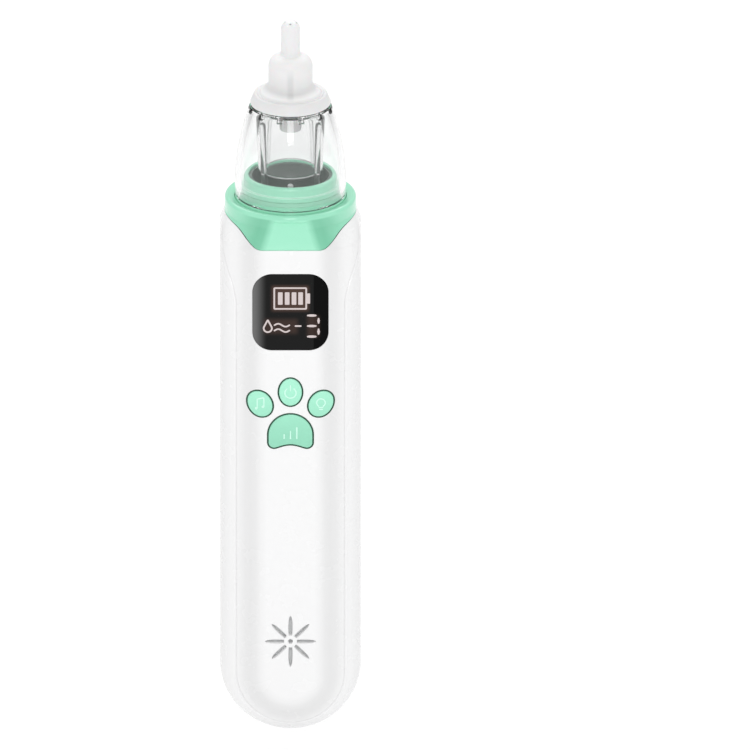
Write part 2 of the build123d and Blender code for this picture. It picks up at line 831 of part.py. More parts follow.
# ---- Base ring: the stepped seat of the clear head, with its seal, well and light -------------
groove_low = collar_top + seal_lift
groove_high = groove_low + seal_groove[1]
groove_radius = lower_tier_radius - seal_groove[0]
ring_profile = [
    (well_radius, ring_top),
    (upper_tier_radius, ring_top),
    (upper_tier_radius, ledge_z),
    (lower_tier_radius, ledge_z),
    (lower_tier_radius, groove_high),
    (groove_radius, groove_high),
    (groove_radius, groove_low),
    (lower_tier_radius, groove_low),
    (lower_tier_radius, collar_top),
    (flange_radius, collar_top),
    (flange_radius, ring_bottom),
    (well_ledge, ring_bottom),
    (well_ledge, liner_bottom),
    (well_radius, liner_bottom),
]
with BuildPart() as base_ring:
    add(turned(ring_profile).part)
    crown = base_ring.edges().filter_by(GeomType.CIRCLE).filter_by(
        lambda edge: abs(edge.radius - upper_tier_radius) < 0.01 and edge.center().Z > ring_top - 0.01
    )
    fillet(crown, radius=tier_round)
save(base_ring, "base_ring")

seal_outer = dome_bore - slip_fit / 4
save(ring(seal_outer, groove_radius, groove_low + seat_fit, groove_high - seat_fit), "dome_seal")

liner_profile = [
    (nipple_bore, liner_nipple_low),
    (nipple_radius, liner_nipple_low),
    (nipple_radius, liner_bottom),
    (liner_outer, liner_bottom),
    (liner_outer, ring_top - liner_sink),
    (liner_inner, ring_top - liner_sink),
    (liner_inner, well_floor),
    (nipple_bore, well_floor),
]
with BuildPart() as well_liner:
    add(turned(liner_profile).part)
    add(disc(led_radius + seat_fit, liner_bottom, well_floor, (0.0, led_y)).part, mode=Mode.SUBTRACT)
save(well_liner, "well_liner")

with BuildPart() as backflow_valve:
    add(disc(valve_cap[0], well_floor, well_floor + valve_cap[1]).part)
    add(disc(valve_stem[0], well_floor - valve_stem[1], well_floor).part)
    lip = backflow_valve.edges().sort_by(Axis.Z)[-1]
    fillet(lip, radius=valve_cap[1] / 2)
save(backflow_valve, "backflow_valve")

light_board_top = liner_bottom - light_board_drop
light_board_low = light_board_top - light_board_thickness
save(ring(well_ledge - light_board_gap, light_board_bore, light_board_low, light_board_top), "light_board")
with BuildPart() as light_led:
    add(disc(led_radius, light_board_top, well_floor + led_proud, (0.0, led_y)).part)
    lens_edge = light_led.edges().sort_by(Axis.Z)[-1]
    fillet(lens_edge, radius=led_radius / 2)
save(light_led, "light_led")


# ---- Clear head: bowed dome with a notched deck, and the collection cup inside it -------------
skirt_top = dome_bottom + dome_straight
dome_inner_top = dome_top_radius - dome_wall
skirt_bore_top = ledge_z + stand_off
with BuildPart() as clear_dome:
    with BuildSketch(Plane.XZ):
        with BuildLine():
            Line((dome_bore, dome_bottom), (flange_radius, dome_bottom))
            Line((flange_radius, dome_bottom), (flange_radius, skirt_top))
            TangentArc((flange_radius, skirt_top), (dome_top_radius, dome_top), tangent=(0, 1))
            Line((dome_top_radius, dome_top), (deck_radius, dome_top))
            Line((deck_radius, dome_top), (deck_radius, deck_top))
            Line((deck_radius, deck_top), (spigot_radius + slip_fit, deck_top))
            Line((spigot_radius + slip_fit, deck_top), (spigot_radius + slip_fit, deck_bottom))
            Line((spigot_radius + slip_fit, deck_bottom), (dome_inner_top, deck_bottom))
            TangentArc((dome_bore, skirt_bore_top), (dome_inner_top, deck_bottom), tangent=(0, 1))
            Line((dome_bore, skirt_bore_top), (dome_bore, dome_bottom))
        make_face()
    revolve(axis=Axis.Z)
    with BuildSketch(Plane.XY.offset(deck_top)):
        with PolarLocations(deck_radius, notch_count, start_angle=180 / notch_count):
            Rectangle(2 * notch_size[1], notch_size[0])
    extrude(amount=-deck_proud, mode=Mode.SUBTRACT)
save(clear_dome, "clear_dome")

cup_top = deck_bottom
cup_bottom = cup_top - cup_tube_length
rib_top = cup_top - cup_rib_top_drop
rib_bottom = well_floor + cup_rib_gap
rib_ring = liner_inner - cup_rib_clear - cup_rib_radius
cup_bottom_radius = rib_ring - cup_rib_sunk
cup_top_radius = cup_bottom_radius + cup_draft
cup_profile = [
    (cup_bottom_radius - cup_wall, cup_bottom),
    (cup_bottom_radius, cup_bottom),
    (cup_top_radius, cup_top),
    (cup_top_radius - cup_wall, cup_top),
]
with BuildPart() as collection_cup:
    add(turned(cup_profile).part)
    with BuildSketch(Plane.XY.offset(rib_bottom)):
        for angle in (cup_rib_angle, 180 - cup_rib_angle, 180 + cup_rib_angle, -cup_rib_angle):
            with PolarLocations(rib_ring, 1, start_angle=angle):
                Circle(cup_rib_radius)
    extrude(amount=rib_top - rib_bottom)
save(collection_cup, "collection_cup")


# ---- Nozzle: one soft moulding, tip, bulb, bell with a rim, and a spigot into the deck ---------
tip_top = seat_z + nozzle_height
tip_centre = tip_top - tip_radius
neck_z = tip_centre - tip_length
with BuildPart() as nozzle:
    with BuildSketch(Plane.XZ) as nozzle_profile:
        with BuildLine():
            Line((0, seat_z - spigot_length), (spigot_radius, seat_z - spigot_length))
            Line((spigot_radius, seat_z - spigot_length), (spigot_radius, seat_z))
            Line((spigot_radius, seat_z), (rim_radius, seat_z))
            Line((rim_radius, seat_z), (rim_top[0], seat_z + rim_top[1]))
            Line((rim_top[0], seat_z + rim_top[1]), (rim_top[0] - rim_step, seat_z + rim_top[1]))
            ThreePointArc(
                (rim_top[0] - rim_step, seat_z + rim_top[1]),
                (bell_start[0] + 1.4, seat_z + bell_start[1] - 0.35),
                (bell_start[0], seat_z + bell_start[1]),
            )
            Line((bell_start[0], seat_z + bell_start[1]), (bulb_radius, seat_z + bulb_bottom))
            Line(
                (bulb_radius, seat_z + bulb_bottom),
                (bulb_radius, seat_z + bulb_top - bulb_shoulder),
            )
            ThreePointArc(
                (bulb_radius, seat_z + bulb_top - bulb_shoulder),
                (
                    bulb_radius - bulb_shoulder * (1 - cos(radians(45))),
                    seat_z + bulb_top - bulb_shoulder * (1 - sin(radians(45))),
                ),
                (bulb_radius - bulb_shoulder, seat_z + bulb_top),
            )
            Line((bulb_radius - bulb_shoulder, seat_z + bulb_top), (tip_radius, neck_z))
            Line((tip_radius, neck_z), (tip_radius, tip_centre))
            ThreePointArc(
                (tip_radius, tip_centre),
                (tip_radius * cos(radians(45)), tip_centre + tip_radius * sin(radians(45))),
                (0, tip_top),
            )
            Line((0, tip_top), (0, seat_z - spigot_length))
        make_face()
    revolve(axis=Axis.Z)
    add(disc(nozzle_bore, seat_z - spigot_length, tip_centre).part, mode=Mode.SUBTRACT)
    for number in range(tip_hole_count):
        turn = radians(270 + 360 * number / tip_hole_count)
        slope = radians(tip_hole_angle)
        aim = (sin(slope) * cos(turn), sin(slope) * sin(turn), cos(slope))
        with BuildSketch(Plane((0, 0, tip_centre), z_dir=aim)):
            Circle(tip_hole_radius)
        extrude(amount=2 * tip_radius, mode=Mode.SUBTRACT)
save(nozzle, "nozzle")
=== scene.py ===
import json

import bmesh
import bpy
import numpy as np
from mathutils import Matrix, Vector


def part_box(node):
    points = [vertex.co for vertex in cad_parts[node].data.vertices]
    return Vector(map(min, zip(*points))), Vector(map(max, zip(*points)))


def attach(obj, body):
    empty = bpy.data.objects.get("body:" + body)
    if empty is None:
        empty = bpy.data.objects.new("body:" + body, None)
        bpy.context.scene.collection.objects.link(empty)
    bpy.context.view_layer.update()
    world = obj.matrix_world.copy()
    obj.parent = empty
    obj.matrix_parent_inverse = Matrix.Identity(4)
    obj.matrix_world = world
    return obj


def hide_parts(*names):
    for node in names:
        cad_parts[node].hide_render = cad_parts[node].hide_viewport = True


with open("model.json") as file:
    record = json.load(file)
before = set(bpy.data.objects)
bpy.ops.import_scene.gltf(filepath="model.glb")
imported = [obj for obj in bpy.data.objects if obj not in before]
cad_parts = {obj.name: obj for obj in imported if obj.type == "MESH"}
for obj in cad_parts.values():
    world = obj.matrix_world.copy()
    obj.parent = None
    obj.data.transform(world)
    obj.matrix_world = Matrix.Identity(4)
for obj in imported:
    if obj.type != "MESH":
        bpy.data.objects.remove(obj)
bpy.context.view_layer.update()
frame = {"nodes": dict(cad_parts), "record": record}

# ---- Table, daylight and camera -----------------------------------------------------------------
# The device stands upright on a pale matt table, in even light from a big front window and two side
# windows, seen through a long lens a little above it.


class Wire:
    """One output of a shader node. Arithmetic on it adds Math nodes, and put() adds any other node."""

    def __init__(self, tree, output):
        self.tree = tree
        self.output = output

    def put(self, kind, inputs, out=0, stops=None, **settings):
        """Adds a node of this kind: its settings first, then a value or a wire for each input."""
        node = self.tree.nodes.new("ShaderNode" + kind)
        for key, value in settings.items():
            setattr(node, key, value)
        if stops:
            ramp = node.color_ramp.elements
            while len(ramp) < len(stops):
                ramp.new(0.5)
            for element, (place, colour) in zip(ramp, stops):
                element.position = place
                element.color = colour
        for key, value in inputs.items():
            if isinstance(value, Wire):
                self.tree.links.new(value.output, node.inputs[key])
            else:
                node.inputs[key].default_value = value
        return Wire(self.tree, node.outputs[out])

    def math(self, operation, *values, clamp=False):
        return self.put("Math", dict(enumerate(values)), operation=operation, use_clamp=clamp)

    def __add__(self, other):
        return self.math("ADD", self, other)

    __radd__ = __add__

    def __sub__(self, other):
        return self.math("SUBTRACT", self, other)

    def __rsub__(self, other):
        return self.math("SUBTRACT", other, self)

    def __mul__(self, other):
        return self.math("MULTIPLY", self, other)

    __rmul__ = __mul__

    def __abs__(self):
        return self.math("ABSOLUTE", self)

    def step(self, low, high):
        """Rises smoothly from 0 to 1 as the value goes from low to high."""
        return self.put(
            "MapRange", {0: self, 1: low, 2: high, 3: 0.0, 4: 1.0}, interpolation_type="SMOOTHSTEP"
        )

    def noise(self, scale, detail=2.0, stretch=(1, 1, 1)):
        """Cloudy values about 0.5, scale blotches to a metre, stretched along the axes."""
        placed = self.put("Mapping", {"Vector": self, "Scale": stretch})
        return self.put("TexNoise", {"Vector": placed, "Scale": scale, "Detail": detail})

    def mix(self, dark, light):
        """A colour between two others, or between two wires, by this value."""
        return self.put("Mix", {0: self, 6: dark, 7: light}, out=2, data_type="RGBA")

    def split(self):
        """The three parts of a vector."""
        parts = self.put("SeparateXYZ", {0: self})
        return [Wire(self.tree, socket) for socket in parts.output.node.outputs]

    def tones(self, *stops):
        """A ramp of greys, from (value, grey) stops; values run from 0 to 1."""
        return self.put("ValToRGB", {0: self}, stops=[(at, (grey, grey, grey, 1)) for at, grey in stops])

    def times(self, other):
        """Two colours multiplied."""
        return self.put("Mix", {0: 1.0, 6: self, 7: other}, out=2, data_type="RGBA", blend_type="MULTIPLY")

    def feed(self, shader, key):
        self.tree.links.new(self.output, shader.inputs[key])


def finish_of(name, **constants):
    """A new material: its shader with constants on the shader's own sockets, and the place wire."""
    material = bpy.data.materials.new(name)
    material.use_nodes = True
    tree = material.node_tree
    shader = tree.nodes["Principled BSDF"]
    for key, value in constants.items():
        shader.inputs[key.replace("_", " ")].default_value = value
    place = Wire(tree, None).put("TexCoord", {}, out="Object")
    return material, shader, place


def grain(shader, height, depth):
    """Raises the surface by a height wire, depth in metres."""
    height.put("Bump", {"Height": height, "Distance": depth, "Strength": 1.0}).feed(shader, "Normal")


sharp_from = 35.0


def skin(name, grid, material, around=False, along=False, crease=sharp_from):
    """A mesh over a grid of points, (rows, columns, xyz) in metres. around joins the last column to the
    first, along joins the last row to the first. Doubles at poles and seams are merged, faces look
    outwards, and edges sharper than crease degrees stay sharp."""
    rows, columns = grid.shape[:2]
    index = np.arange(rows * columns).reshape(rows, columns)
    if around:
        index = np.concatenate([index, index[:, :1]], axis=1)
    if along:
        index = np.concatenate([index, index[:1]], axis=0)
    quads = np.stack([index[:-1, :-1], index[:-1, 1:], index[1:, 1:], index[1:, :-1]], axis=-1)
    mesh = bpy.data.meshes.new(name)
    mesh.from_pydata(grid.reshape(-1, 3).tolist(), [], quads.reshape(-1, 4).tolist())
    work = bmesh.new()
    work.from_mesh(mesh)
    bmesh.ops.remove_doubles(work, verts=work.verts, dist=1e-6)
    bmesh.ops.dissolve_degenerate(work, edges=work.edges, dist=1e-7)
    bmesh.ops.recalc_face_normals(work, faces=work.faces)
    work.to_mesh(mesh)
    work.free()
    mesh.polygons.foreach_set("use_smooth", np.ones(len(mesh.polygons), bool))
    mesh.set_sharp_from_angle(angle=np.radians(crease))
    piece = bpy.data.objects.new(name, mesh)
    bpy.context.scene.collection.objects.link(piece)
    mesh.materials.append(material)
    return piece


def lamp(name, place, target, width, height, power):
    """A soft rectangular window of light at a place, facing a target."""
    light = bpy.data.lights.new(name, "AREA")
    light.shape = "RECTANGLE"
    light.size = width
    light.size_y = height
    light.energy = power
    piece = bpy.data.objects.new(name, light)
    piece.location = place
    piece.rotation_euler = (Vector(target) - Vector(place)).to_track_quat("-Z", "Y").to_euler()
    bpy.context.scene.collection.objects.link(piece)


middle = (0.0, 0.0, 0.0992)
lamp("front_window", (0.0, -1.1, 0.75), middle, 0.36, 0.9, 3.6)
lamp("left_window", (-0.9, -0.25, 0.25), middle, 0.35, 1.1, 0.5)
lamp("right_window", (0.9, -0.25, 0.25), middle, 0.35, 1.1, 0.5)
lamp("top_window", (0.0, 0.50, 0.85), (0.0, 0.25, 0.0), 1.2, 0.7, 4.2)

world = bpy.data.worlds.new("daylight")
bpy.context.scene.world = world
world.use_nodes = True
sky = world.node_tree.nodes["Background"]
sky.inputs["Color"].default_value = (1.0, 1.0, 1.0, 1.0)
sky.inputs["Strength"].default_value = 0.74
bpy.context.scene.view_settings.view_transform = "Standard"

table_finish, table_shader, table_place = finish_of("table_paint", Roughness=0.8)
table_tone = table_place.noise(9.0, 3.0).mix((0.92, 0.92, 0.92, 1), (0.95, 0.95, 0.95, 1))
table_tone.feed(table_shader, "Base Color")
table_half = 3.0
table_z = -0.015
span = np.linspace(-table_half, table_half, 9)
flat = np.stack(np.meshgrid(span, span, indexing="ij") + [np.full((9, 9), table_z)], axis=-1)
table = skin("table", flat, table_finish)

lens_mm = 1600.0
sensor_mm = 36.0
view_width = 0.2021
view_rise = np.radians(22.0)
distance = view_width * lens_mm / sensor_mm
camera_data = bpy.data.cameras.new("camera")
camera_data.lens = lens_mm
camera_data.sensor_width = sensor_mm
camera_data.clip_end = 30.0
camera_data.shift_x = 0.1127
camera = bpy.data.objects.new("camera", camera_data)
camera.location = Vector(middle) + distance * Vector((0, -np.cos(view_rise), np.sin(view_rise)))
camera.rotation_euler = (np.pi / 2 - view_rise, 0, 0)
bpy.context.scene.collection.objects.link(camera)
bpy.context.scene.camera = camera

# ---- Handle shells ------------------------------------------------------------------------------
# Two glossy white mouldings that close on each other at the mid plane. Each is a slab with a round
# lower end and a soft edge, with a fine raised line that follows the outline about 4 mm in.

shell_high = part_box("front_shell")[1]
rear_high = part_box("rear_shell")[1]
half_width = shell_high.x * 1000
half_depth = rear_high.y * 1000
edge_round = 11.0
end_z = half_width
shoulder_z = 142.5
collar_low_z = 148.1
collar_round = 17.65
collar_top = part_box("collar")[1].z * 1000
bib_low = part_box("collar")[0].z * 1000
shell_wall = 1.8
line_inset = 3.75
line_height = 0.22
line_foot = 0.30
line_groove = 0.20
line_bend = (126.0, 142.2)
dense_z = 118.0


def eased(value, low, high):
    """Rises smoothly from 0 to 1 as the value goes from low to high: 3t^2 - 2t^3."""
    share = np.clip((value - low) / (high - low), 0.0, 1.0)
    return share * share * (3.0 - 2.0 * share)


def quarter(share, half_x, half_y, bend):
    """A quarter of a rounded rectangle, from the middle of its side (share 0) along the side to the
    corner (1), round it (2) and along the front to the middle (3). Gives x, y and the outward normal."""
    turn = np.clip(share - 1.0, 0.0, 1.0) * np.pi / 2
    x = half_x - bend + bend * np.cos(turn) - (half_x - bend) * np.clip(share - 2.0, 0.0, 1.0)
    y = -(half_y - bend) * np.clip(share, 0.0, 1.0) - bend * np.sin(turn)
    return x, y, np.cos(turn), -np.sin(turn)


def form_sizes(z):
    """Half width, half depth and corner bend of the handle's section at a height: constant up to the
    shoulder, then straight to the collar's circle."""
    rise = np.clip((z - shoulder_z) / (collar_low_z - shoulder_z), 0.0, 1.0)
    half_x = half_width + (collar_round - half_width) * rise
    half_y = half_depth + (collar_round - half_depth) * rise
    return half_x, half_y, edge_round + (collar_round - 0.1 - edge_round) * rise


bib_side = np.array([(0, 142.4), (10.0, 142.4), (12.4, 146.2), (16.0, 147.6), (20.0, 147.9)])
bib_soft = 2.2


def bib_edge(x):
    """Height of the collar's lower edge at a distance from the middle: straight runs between the bib's
    corners, each corner softened by averaging over a short way to each side."""
    spread = np.linspace(-bib_soft, bib_soft, 17)
    reach = np.abs(x)[..., None] + spread
    return np.interp(np.abs(reach), *bib_side.T).mean(axis=-1)


def edge_height(share, drop):
    """Height at which each line up the section meets the collar's lower edge. The section narrows with
    height, so the meeting is found by going half way to each new answer."""
    z = np.full_like(share, bib_low + 2.0)
    for _ in range(24):
        z = 0.5 * z + 0.5 * (bib_edge(quarter(share, *form_sizes(z))[0]) - drop)
    return z


shell_finish, shell_shader, place = finish_of(
    "white_shell", Coat_Weight=0.25, Coat_Roughness=0.06, IOR=1.5,
)
across, _, up = place.split()
# Painted reflection and shade: the base colour runs in lighter and darker bands by distance from the
# handle's middle line and lower end, standing in for studio lights and the gaps between them mirrored in
# the rounded edges.
drop = (up * 1000 - end_z).math("MINIMUM", up * 1000 - end_z, 0.0)
from_axis = place.math("SQRT", across * across * 1e6 + drop * drop) * 0.05
painted_reflection_bands = from_axis.tones(
    (0.32, 1.0), (0.40, 0.955), (0.47, 0.885), (0.54, 0.865), (0.61, 0.885), (0.68, 0.945),
    (0.735, 0.985), (0.80, 1.0), (0.86, 0.975), (0.92, 0.92), (0.955, 0.87),
)
cloud = place.noise(120.0, 3.0).mix((0.884, 0.884, 0.887, 1), (0.892, 0.892, 0.895, 1))
# Painted highlight and shade along the raised line: a bright strip on its outer side and a dark strip at
# the line, in the base colour.
line_way = line_inset * (1 - (up * 1000).step(*line_bend)) + 0.6
off_line = (19.0 - 20.0 * from_axis - line_way) * 0.25 + 0.5
line_highlight_and_shade = off_line.tones(
    (0.36, 1.0), (0.44, 1.025), (0.475, 0.99), (0.50, 0.925), (0.53, 0.965), (0.60, 1.01)
)
cloud.times(painted_reflection_bands).times(line_highlight_and_shade).feed(shell_shader, "Base Color")
(0.25 + 0.04 * place.noise(200.0, 2.0)).feed(shell_shader, "Roughness")
grain(shell_shader, place.noise(500.0, 1.0), 0.0000003)


def line_place(z):
    """How far in from the outline the line runs: level up the handle, and out to the edge near the top."""
    return line_inset * (1.0 - eased(z, *line_bend)) + 0.3


def raised_line(inset, z, path_z):
    """Height of the moulding's step at a distance in from the outline: nothing at the edge, rising to
    the crest beside the line, then a short steep fall to the inner face with a fine groove at its
    foot. It fades at the shoulder and at the bottom."""
    middle_of_line = line_place(z)
    crest = eased(inset, 0.0, 0.8 * middle_of_line)
    crest = crest * (1.0 - eased(inset, middle_of_line - 0.1, middle_of_line + line_foot))
    groove = np.exp(-(((inset - middle_of_line - line_foot) / 0.17) ** 2))
    strength = (1.0 - eased(z, 137.0, 141.5)) * eased(path_z, -1.5, 5.0)
    return (line_height * crest - line_groove * groove) * strength


def shell(name, facing):
    """A profile carried along a path: the quarter section goes down one side, round the lower end and
    up the other side, with its points gathered about the raised line. facing is 1 for the front and
    -1 for the rear."""
    near = np.sinh(np.linspace(-2.2, 2.2, 27)) / np.sinh(2.2)

    def shares(z):
        """Places round the section for each height: to the line, across it, and on to the middle."""
        half_x, _, bend = form_sizes(z)
        cosine = (half_x - line_place(z) - line_foot - (half_x - bend)) / bend
        middle_share = 1.0 + np.arccos(np.clip(cosine, -1, 1)) / (np.pi / 2)
        low_share = middle_share - 0.09
        high_share = middle_share + 0.09
        first = np.array([0.0, 0.004, 0.012, 0.025, 0.05, 0.1, 0.3, 0.6])[None, :]
        return np.concatenate(
            [first + 0 * z, 0.9 + (low_share - 0.9) * np.linspace(0, 1, 14)[None, :-1],
             middle_share + 0.09 * near[None, :],
             high_share + (2.0 - high_share) * np.linspace(0, 1, 26)[None, 1:],
             2.0 + np.linspace(0, 1, 18)[None, 1:] + 0 * z], axis=1)

    upper = np.linspace(1.0, 0.0, 64)[:, None]
    straight = np.linspace(dense_z, end_z, 70)[:, None]
    top_share = shares(np.array([[146.0]]))[0]
    top = edge_height(top_share, 0.0)[None, :]
    high_z = dense_z + (top - dense_z) * upper[:-1]
    row_z = dense_z + (147.6 - dense_z) * upper[:-1]
    turn = np.linspace(90.0, -90.0, 121)[1:-1]
    side_z = np.concatenate([high_z, straight + 0 * top_share])
    share_z = np.concatenate([row_z, straight])
    z = np.concatenate([side_z, np.full((len(turn), len(top_share)), end_z), side_z[::-1]])
    share = shares(np.concatenate([share_z, np.full((len(turn), 1), end_z), share_z[::-1]]))
    upright = np.full(len(side_z), 90.0)
    angle = np.radians(np.concatenate([upright, turn, -upright]))[:, None]
    out, y, normal_out, normal_y = quarter(share, *form_sizes(z))
    inset = form_sizes(z)[0] - out
    path_z = np.where(np.abs(np.degrees(angle)) < 89.9, end_z - half_width * np.cos(angle), z)
    lift = raised_line(inset, z, path_z) - 0.16 * np.exp(-((y / 0.22) ** 2))
    out = out + lift * normal_out
    y = y + lift * normal_y
    grid = np.stack([out * np.sin(angle), facing * y, z - out * np.cos(angle)], axis=-1) * 0.001
    return skin(name, grid, shell_finish)


def cut(piece, cutter):
    """Takes a cutter's space out of a piece, and removes the cutter."""
    step = piece.modifiers.new("cut", "BOOLEAN")
    step.object = cutter
    step.operation = "DIFFERENCE"
    step.solver = "EXACT"
    apply_steps(piece)
    bpy.data.objects.remove(cutter)


def apply_steps(piece):
    """Turns a piece's modifiers into mesh, and marks its sharp edges again."""
    graph = bpy.context.evaluated_depsgraph_get()
    mesh = bpy.data.meshes.new_from_object(piece.evaluated_get(graph))
    piece.modifiers.clear()
    piece.data = mesh
    mesh.polygons.foreach_set("use_smooth", np.ones(len(mesh.polygons), bool))
    mesh.set_sharp_from_angle(angle=np.radians(sharp_from))


def even(points, count):
    """A closed outline, resampled to evenly spaced points, (x, z) in millimetres."""
    loop = np.concatenate([points, points[:1]])
    walk = np.concatenate([[0], np.cumsum(np.hypot(*np.diff(loop, axis=0).T))])
    spots = np.linspace(0, walk[-1], count, endpoint=False)
    return np.stack([np.interp(spots, walk, loop[:, 0]), np.interp(spots, walk, loop[:, 1])], axis=-1)


def grown(outline, distance):
    """An outline moved outwards along its own normals; the outline runs clockwise seen from the front."""
    ahead = np.roll(outline, -1, axis=0) - np.roll(outline, 1, axis=0)
    ahead = ahead / np.linalg.norm(ahead, axis=1, keepdims=True)
    return outline + distance * np.stack([-ahead[:, 1], ahead[:, 0]], axis=-1)


def rounded_box(width, height, bend, count=160):
    """A rounded rectangle round the origin, clockwise from the middle of its top."""
    share = np.linspace(0, 3, 121)[:-1]
    x, y, _, _ = quarter(share, width / 2, height / 2, bend)
    right_top = np.stack([x, -y], axis=-1)[::-1]
    right = np.concatenate([right_top, right_top[::-1] * (1, -1)])
    return even(np.concatenate([right, right[::-1] * (-1, 1)]), count)


def prism(name, outlines, depths):
    """A closed block between outlines at set depths along Y."""
    rings = [np.stack([o[:, 0], np.full(len(o), d), o[:, 1]], axis=-1) for o, d in zip(outlines, depths)]
    caps = [np.broadcast_to(r.mean(0), r.shape) for r in (rings[0], rings[-1])]
    return skin(name, np.stack([caps[0], *rings, caps[1]]) * 0.001, shell_finish, around=True)


def centre_of(node):
    """A node's middle, (x, z) in millimetres."""
    low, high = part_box(node)
    return (low.x + high.x) * 500, (low.z + high.z) * 500


lens_low, lens_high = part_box("display_lens")
lens_size = (lens_high - lens_low) * 1000
lens_z = centre_of("display_lens")[1]
lens_bend = 5.3
lens_outline = rounded_box(lens_size.x, lens_size.z, lens_bend, 240) + (0, lens_z)


def ellipse(half_x, half_z, tilt, centre, count=96):
    """A tilted ellipse, clockwise from its top."""
    turn = np.linspace(0, 2 * np.pi, count, endpoint=False)
    x, z = half_x * np.sin(turn), half_z * np.cos(turn)
    lean = np.radians(tilt)
    leant = [x * np.cos(lean) - z * np.sin(lean), x * np.sin(lean) + z * np.cos(lean)]
    return np.stack(leant, axis=-1) + centre


def paw_pad(centre, radius, skirt, bend, hollow, count=160):
    """The large button's outline: a half circle above, straight sides, bent lower corners and a lower
    edge that curves inwards."""
    arc = np.linspace(-np.pi / 2, np.pi / 2, 60)
    top = np.stack([radius * np.sin(arc), radius * np.cos(arc)], axis=-1)
    turn = np.linspace(0, np.pi / 2, 14)
    corner = np.stack([radius - bend + bend * np.cos(turn), bend - skirt - bend * np.sin(turn)], axis=-1)
    base_x = np.linspace(radius - bend, bend - radius, 40)[1:-1]
    base = np.stack([base_x, -skirt + hollow * (1 - (base_x / (radius - bend)) ** 2) ** 1.5], axis=-1)
    return even(np.concatenate([top, corner, base, corner[::-1] * (-1, 1)]), count) + centre


level_z = 89.1
button_outlines = {
    "power": ellipse(3.05, 3.88, 0.0, centre_of("power_button")),
    "music": ellipse(3.11, 3.86, 33.0, centre_of("music_button")),
    "light": ellipse(3.11, 3.86, -33.0, centre_of("light_button")),
    "level": paw_pad((0.0, level_z), 5.9, 3.68, 1.5, 1.0),
}


def add_wall(piece):
    """Gives a shell its thickness, inwards from its outer face."""
    thick = piece.modifiers.new("wall", "SOLIDIFY")
    thick.thickness = shell_wall * 0.001
    thick.offset = -1.0
    apply_steps(piece)


front_shell = shell("front_shell_skin", 1)
add_wall(front_shell)
reach = half_depth + 3.0
deep = half_depth - 2 * shell_wall
window_gap = 0.06
button_gap = 0.42
cut(front_shell, prism("window", [grown(lens_outline, window_gap)] * 2, (-deep, -reach)))
for outline in button_outlines.values():
    cut(front_shell, prism("button_hole", [grown(outline, button_gap)] * 2, (-deep, -reach)))

mesh_z = centre_of("speaker_mesh")[1]
petal_in, petal_out, petal_tall, petal_half = 1.76, 6.9, 7.42, 0.62
for turn in np.arange(8) * np.pi / 4:
    far = 1.0 / np.hypot(np.sin(turn) / petal_out, np.cos(turn) / petal_tall)
    along = np.linspace(0, 1, 24)
    reach_out = petal_in + (far - petal_in) * along
    width = petal_half * (0.72 + 0.75 * along - 0.9 * along**2) * np.sqrt(np.clip(1 - along**7, 0, 1))
    side = np.stack([width, reach_out], axis=-1)
    leaf = even(np.concatenate([side * (-1, 1), side[::-1]]), 60)
    spin = np.array([[np.cos(turn), -np.sin(turn)], [np.sin(turn), np.cos(turn)]])
    leaf = leaf @ spin + (0, mesh_z)
    depths = (-deep, 0.14 - half_depth, 0.04 - half_depth, -half_depth, -reach)
    flare = [leaf, leaf, grown(leaf, 0.05), grown(leaf, 0.14), grown(leaf, 0.14)]
    cut(front_shell, prism("petal", flare, depths))
eye = ellipse(0.62, 0.66, 0.0, (0.0, mesh_z), 40)
cut(front_shell, prism("eye", [eye, eye, grown(eye, 0.12), grown(eye, 0.12)],
                       (-deep, 0.12 - half_depth, -half_depth, -reach)))
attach(front_shell, "root")
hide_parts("front_shell")

rear_shell = shell("rear_shell_skin", -1)
add_wall(rear_shell)
cover_low, cover_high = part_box("port_cover")
cover_size = (cover_high - cover_low) * 1000
port_z = centre_of("port_cover")[1]
cover_outline = rounded_box(cover_size.x, cover_size.z, 1.5, 120) + (0, port_z)
cut(rear_shell, prism("recess", [grown(cover_outline, 0.1)] * 2, (half_depth - 0.9, reach)))
cut(rear_shell, prism("slot", [rounded_box(9.6, 3.8, 1.8, 100) + (0, port_z)] * 2, (deep, reach)))
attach(rear_shell, "root")
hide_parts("rear_shell")

# ---- Collar -------------------------------------------------------------------------------------
# A glossy mint band that hides the top of the shells. A bib with a flat face hangs from it front and
# rear, and its rim is rolled over into the bore.

mint_finish, mint_shader, place = finish_of(
    "mint_gloss", Coat_Weight=0.5, Coat_Roughness=0.04, IOR=1.5,
)
across, _, up = place.split()
# Painted shade: a darker band of mint just beside the bib's flat face, fading round the sides, and a little
# darker on the rolled rim.
past_face = (abs(across) * 1000 - (53.3 - 0.321 * 1000 * up) + 2.0) * (1 / 14)
flank_shade = past_face.tones(
    (0.06, 0.0), (0.14, 0.45), (0.21, 0.92), (0.34, 1.0), (0.52, 0.78), (0.72, 0.35), (0.93, 0.22)
)
on_rim = (up * 1000).step(150.5, 151.1)
flank_shade = flank_shade * (1 - on_rim) + 0.25 * on_rim
mint = place.noise(300.0, 3.0).mix((0.350, 0.825, 0.590, 1), (0.372, 0.85, 0.612, 1))
mint = flank_shade.mix(mint, (0.185, 0.575, 0.375, 1))
# Painted highlight: a thin lighter line of mint round the base ring's ledge.
ledge_highlight = (up * 1000).step(155.45, 155.7) * (1 - (up * 1000).step(155.75, 156.0))
ledge_highlight.mix(mint, (0.56, 0.88, 0.73, 1)).feed(mint_shader, "Base Color")
(0.20 + 0.08 * place.noise(1200.0, 2.0)).feed(mint_shader, "Roughness")
grain(mint_shader, place.noise(8000.0, 2.0), 0.000003)

